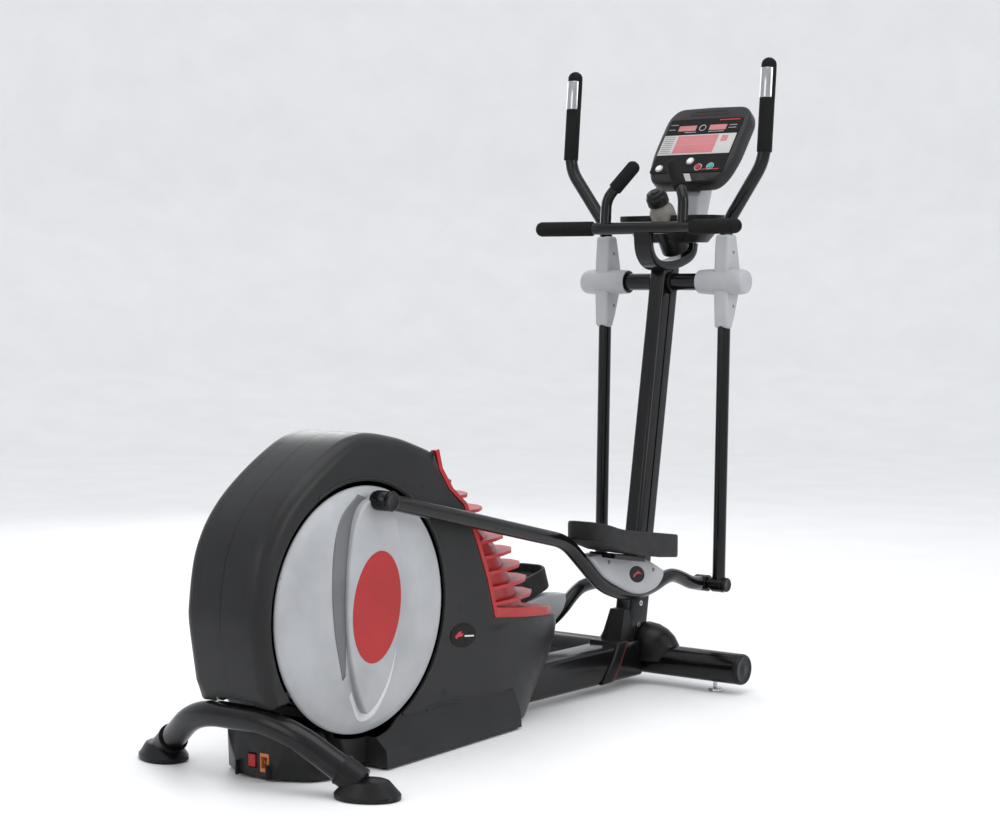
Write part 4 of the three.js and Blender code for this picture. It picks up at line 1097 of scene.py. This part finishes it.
def make_console():
    """The case, its dark overlay and its plain windows and marks, with the vent slots and the ledge recess as
    flat patches of painted shade.
    """
    rings = []
    for out, inset in CONSOLE_RINGS:
        shrink = 1 - inset / CONSOLE_HALF
        rings.append([on_console(x * shrink, CONSOLE_HALF + (v - CONSOLE_HALF) * shrink, out)
                      for x, v in console_outline()])
    dress(skin("console_case", rings, 45), "charcoal_plastic", nodes=["console_shell"])
    face = box_line(-125, 125, 34, 236, 8)
    console_plate("console_overlay", face, 0.1, 2.4, "overlay_plastic", None, 0.8, ["console_face"])
    console_plate("display_strip", box_line(-123, 123, 101, 175, 2), 2.2, 2.9, "white_plastic", STRIP, 0.2)
    for name, v0, v1, shade in (("upper", 139.5, 172, WINDOW), ("lower", 106, 138.5, WINDOW_LOW)):
        window = box_line(-74, 64, v0, v1, 1)
        console_plate(f"matrix_window_{name}", window, 2.8, 3.3, "red_plastic", shade, 0.2)
    for i, (x0, x1) in enumerate(((-85, -25), (20, 78))):
        window = box_line(x0, x1, 190, 210, 2)
        console_plate(f"small_window_{i}", window, 2.3, 3.0, "red_plastic", WINDOW, 0.2)
    for i in range(9):
        v = 108 + 7.4 * i
        line = box_line(-118, -84, v, v + 2, 0.6)
        console_plate(f"strip_line_{i}", line, 2.8, 3.1, "overlay_plastic", DARK_GREY)
    console_plate("strip_badge", box_line(76, 98, 146, 168, 3), 2.8, 3.2, "red_plastic", WINDOW, 0.2)
    for i, (x0, x1, v) in enumerate(LEGENDS):
        tall, slot, shade = (3.2, "red_plastic", MARK_RED) if i < 2 else (1.6, "white_plastic", STRIP)
        console_plate(f"legend_{i}", box_line(x0, x1, v, v + tall, 0.7), 2.3, 2.8, slot, shade)
    console_ring("dial_ring", -3, 200, [(0, 11), (0.8, 11.4), (0.8, 9.6), (0, 9.2)])
    # The vent slots are flat patches of painted shade, not cut into the case.
    for i, v in enumerate((250, 262)):
        width = 66 - 10 * i
        slot = box_line(-width, width, v, v + 6, 2.8)
        console_plate(f"vent_slot_{i}", slot, -0.6, 0.5, "overlay_plastic", RECESS_SHADE)
    inlay = [(-34, 2), (34, 2), (16, 31), (-16, 31)]
    console_plate("neck_inlay", inlay, -0.4, 1.4, "silver_plastic", None, 0.8)
    # The ledge recess is a flat patch of painted shade.
    console_plate("ledge_recess", [(44, 4), (86, 4), (52, 31)], -0.6, 0.4, "overlay_plastic", RECESS_SHADE)
    for key, (x, v) in KEY_RINGS.items():
        console_ring(f"{key}_key_ring", x, v, [(0, 12.4), (0.9, 12.2), (0.9, 9.9), (0, 9.7)])


make_console()

# ---- bottle
BOTTLE_LOW, BOTTLE_HIGH = Vector((0, 1688, 1224)), Vector((0, 1581, 1380))


def make_bottle():
    way = BOTTLE_HIGH - BOTTLE_LOW
    long = way.length
    shape = [(0, 30), (1, 34), (4, 36.2)]
    shape += [(long * part, radius) for part, radius in (
        (0.45, 36.4), (0.47, 35.2), (0.5, 36.4), (0.62, 36.4), (0.66, 36), (0.7, 33.5), (0.74, 29),
        (0.79, 25))]
    body = turned("bottle_body", at(*BOTTLE_LOW), way, shape, 64)
    dress(body, "bottle_plastic", "bottle", ["water_bottle"])
    lid = [(0, 30), (1.5, 31), (22, 31), (25, 30), (26, 27.5), (27, 27), (34, 26.4), (36.5, 24.6), (37.5, 22),
           (38, 14), (41.5, 12.5), (42.5, 11), (42.8, 0)]
    cap = turned("bottle_lid", at(*(BOTTLE_LOW + way * 0.792)), way, lid, 64)
    dress(cap, "black_plastic", "bottle", ["bottle_cap"])


make_bottle()

# ---- small parts of the housing


def on_side(name, outline, x, thick, slot, side, material=None, bevel=0.0):
    """A thin plate on the housing's flat side; outline in (y, z)."""
    piece = slab(f"{side}_{name}", outline, lambda a, b, h: at((x + h) * SIDES[side], a, b), thick, bevel)
    dress(piece, slot, material=material)


def arc_band(radius, width, start, stop, count):
    """A band round the crank's centre, from one angle to another."""
    outer, inner = [], []
    for i in range(count + 1):
        angle = math.radians(start + (stop - start) * i / count)
        for line, reach in ((outer, radius + width), (inner, radius)):
            line.append((CRANK.y + reach * math.cos(angle), CRANK.z + reach * math.sin(angle)))
    return outer + inner[::-1]


SIDE_SCREWS = {0: (-62, 470), 1: (418, 640), 2: (560, 330), 3: (500, 130), 4: (640, 60), 6: (250, 60)}
BADGE = {"y": 572, "z": 262, "across": 50, "tall": 30, "tilt": -6}


def make_side_details(side):
    """The lip round the wheel opening, the plain badge with its marks, and the screw wells."""
    x = HOUSING_HALF
    on_side("opening_lip", arc_band(299.5, 7, -62, 118, 72), x - 3, 6.5, "charcoal_plastic", side, bevel=2.6)
    badge = ellipse(BADGE["y"], BADGE["z"], BADGE["across"], BADGE["tall"], BADGE["tilt"])
    on_side("badge", badge, x - 0.5, 2.3, "overlay_plastic", side, bevel=0.9)
    mark = [(538, 262), (552, 272), (566, 274), (560, 266), (572, 268), (566, 260), (552, 262), (546, 256)]
    on_side("badge_mark", mark, x + 1.6, 0.5, "red_plastic", side, MARK_RED)
    bar = [(576, 262), (612, 258), (612, 254.5), (576, 258)]
    on_side("badge_bar", bar, x + 1.6, 0.5, "white_plastic", side)
    well = [(0, 0), (0, 4.6), (1.9, 5.4), (1.9, 6.2), (0.4, 6.2)]
    for i, (y, z) in SIDE_SCREWS.items():
        sided(side, f"screw_well_{i}", (x - 1.4, y, z), well, "black_plastic", sides=28, smooth=25)


for side in SIDES:
    make_side_details(side)


def make_power_details():
    """The sensor's jack and a screw on the box's rear face."""
    face = -30  # the y of that face
    profile = [(0, 8.2), (6, 8.2), (7.2, 7.4), (7.2, 4.6), (3, 4.4), (3, 0)]
    jack = turned("sensor_jack", at(23, face + 8, 84), REARWARD, profile, 32)
    dress(jack, "black_plastic", material=PURPLE)
    screw("power_screw", at(5, face + 0.6, 18), REARWARD, 4.2, "machine", FINISH["steel"])


make_power_details()

# ---- trim on the frame


def make_foot_slots(side):
    """Slots round the rim of a rear foot, as flat patches of painted shade, and a collar line on its sleeve.
    """
    way = SIDES[side]
    for i in range(6):
        angle = math.radians(-150 + 60 * i) + math.radians(FOOT_TURN * way)
        out = Vector((math.cos(angle), math.sin(angle), 0))
        across = Vector((-out.y, out.x, 0))
        spot = Vector((FOOT_X * way, FOOT_Y, 0)) + Vector((out.x * 70, out.y * 50, 7.5))

        def rim(a, b, h):
            return at(*(spot + across * a + Vector((0, 0, b)) + out * h))

        # Each slot is a flat patch of painted shade.
        piece = slab(f"{side}_foot_slot_{i}", box_line(-7, 7, -2.2, 2.2, 1.6, 3), rim, 2.4, 0.4, 2)
        dress(piece, "black_plastic", material=RECESS_SHADE)
    start, end = (mirrored(LEG_BEND.lerp(LEG_END, t), way) for t in (0.755, 0.79))
    profile = [(0, 30.4), (0, 35.6), (1, 36.2), (5, 36.2), (6, 35.4), (6, 30.4)]
    dress(turned(f"{side}_foot_collar", at(*start), end - start, profile), "black_plastic")


def make_boot_highlight_and_bolts():
    """A dark red highlight painted along the boot's edge, and the bolts that clamp the mast."""
    outline = [(1309, 30), (1313, 28), (1343, 60), (1385, 131), (1379, 131), (1338, 62)]
    for side, way in SIDES.items():
        # A thin strip of painted highlight on the boot's edge.
        on_side("boot_edge", outline, 49.6, 1.8, "red_plastic", side, BOOT_EDGE_HIGHLIGHT)
        for z in (165, 225):
            spot = at(29.4 * way, mast_y(z), z)
            screw(f"{side}_mast_bolt_{z}", spot, X_AXIS * way, 7.5, "machine", FINISH["steel"])


def make_axle_trim():
    profile = [(0, 24), (0, 30), (1, 31), (5, 31), (6, 30), (6, 24)]
    for side in SIDES:
        sided(side, "axle_collar", (28, PIVOT_Y, PIVOT_Z), profile, "black_plastic")


def make_housing_trim():
    """The raised seam strip down the middle of the housing's back and the hood lines beside it."""
    line = smooth_curve(BACK, 10)[4:-6]
    for name, x, half, lift, material in (("seam_strip", 0, 1.2, 0.4, FINISH["black_plastic"]),
                                          ("left_ridge", -72, 1.6, 0.3, None),
                                          ("right_ridge", 72, 1.6, 0.3, None)):
        section = [(-half, -1.5), (-half, lift * 0.5), (0, lift), (half, lift * 0.5), (half, -1.5)]
        rings = []
        for i, (y, z) in enumerate(line):
            before, after = line[max(i - 1, 0)], line[min(i + 1, len(line) - 1)]
            along = Vector((after[0] - before[0], after[1] - before[1])).normalized()
            rings.append([at(x + dx, y - along.y * rise, z + along.x * rise) for dx, rise in section])
        dress(skin(f"housing_{name}", rings, 60), "charcoal_plastic", material=material)


def make_top_panel():
    """Closes the shell between the tops of the red side strips."""
    outline = [(462, 719), (469, 716), (478, 676), (516, 628), (536, 612), (530, 606), (509, 620), (470, 671)]
    panel = slab("housing_top_panel", outline, lambda a, b, h: at(h - 105, a, b), 210, 2)
    dress(panel, "charcoal_plastic")


def make_nose_trim():
    """The slot at the top of the nose, as a flat patch of painted shade, and the arch over the front of the
    skirt.
    """
    slot = [(668, 262), (690, 270), (760, 268), (740, 258), (700, 254)]
    arch = smooth_curve([(430, 104), (480, 112), (540, 106), (600, 92), (660, 72), (700, 48)], 6)
    band = arch + [(y, z - 9) for y, z in reversed(arch)]
    for side in SIDES:
        # The nose slot is a flat patch of painted shade.
        on_side("nose_slot", slot, 117.6, 2.7, "black_plastic", side, RECESS_SHADE, 0.6)
        on_side("skirt_arch", band, 116.5, 5.5, "charcoal_plastic", side, bevel=2.4)


for side in SIDES:
    make_foot_slots(side)
make_boot_highlight_and_bolts()
make_axle_trim()
make_housing_trim()
make_top_panel()
make_nose_trim()
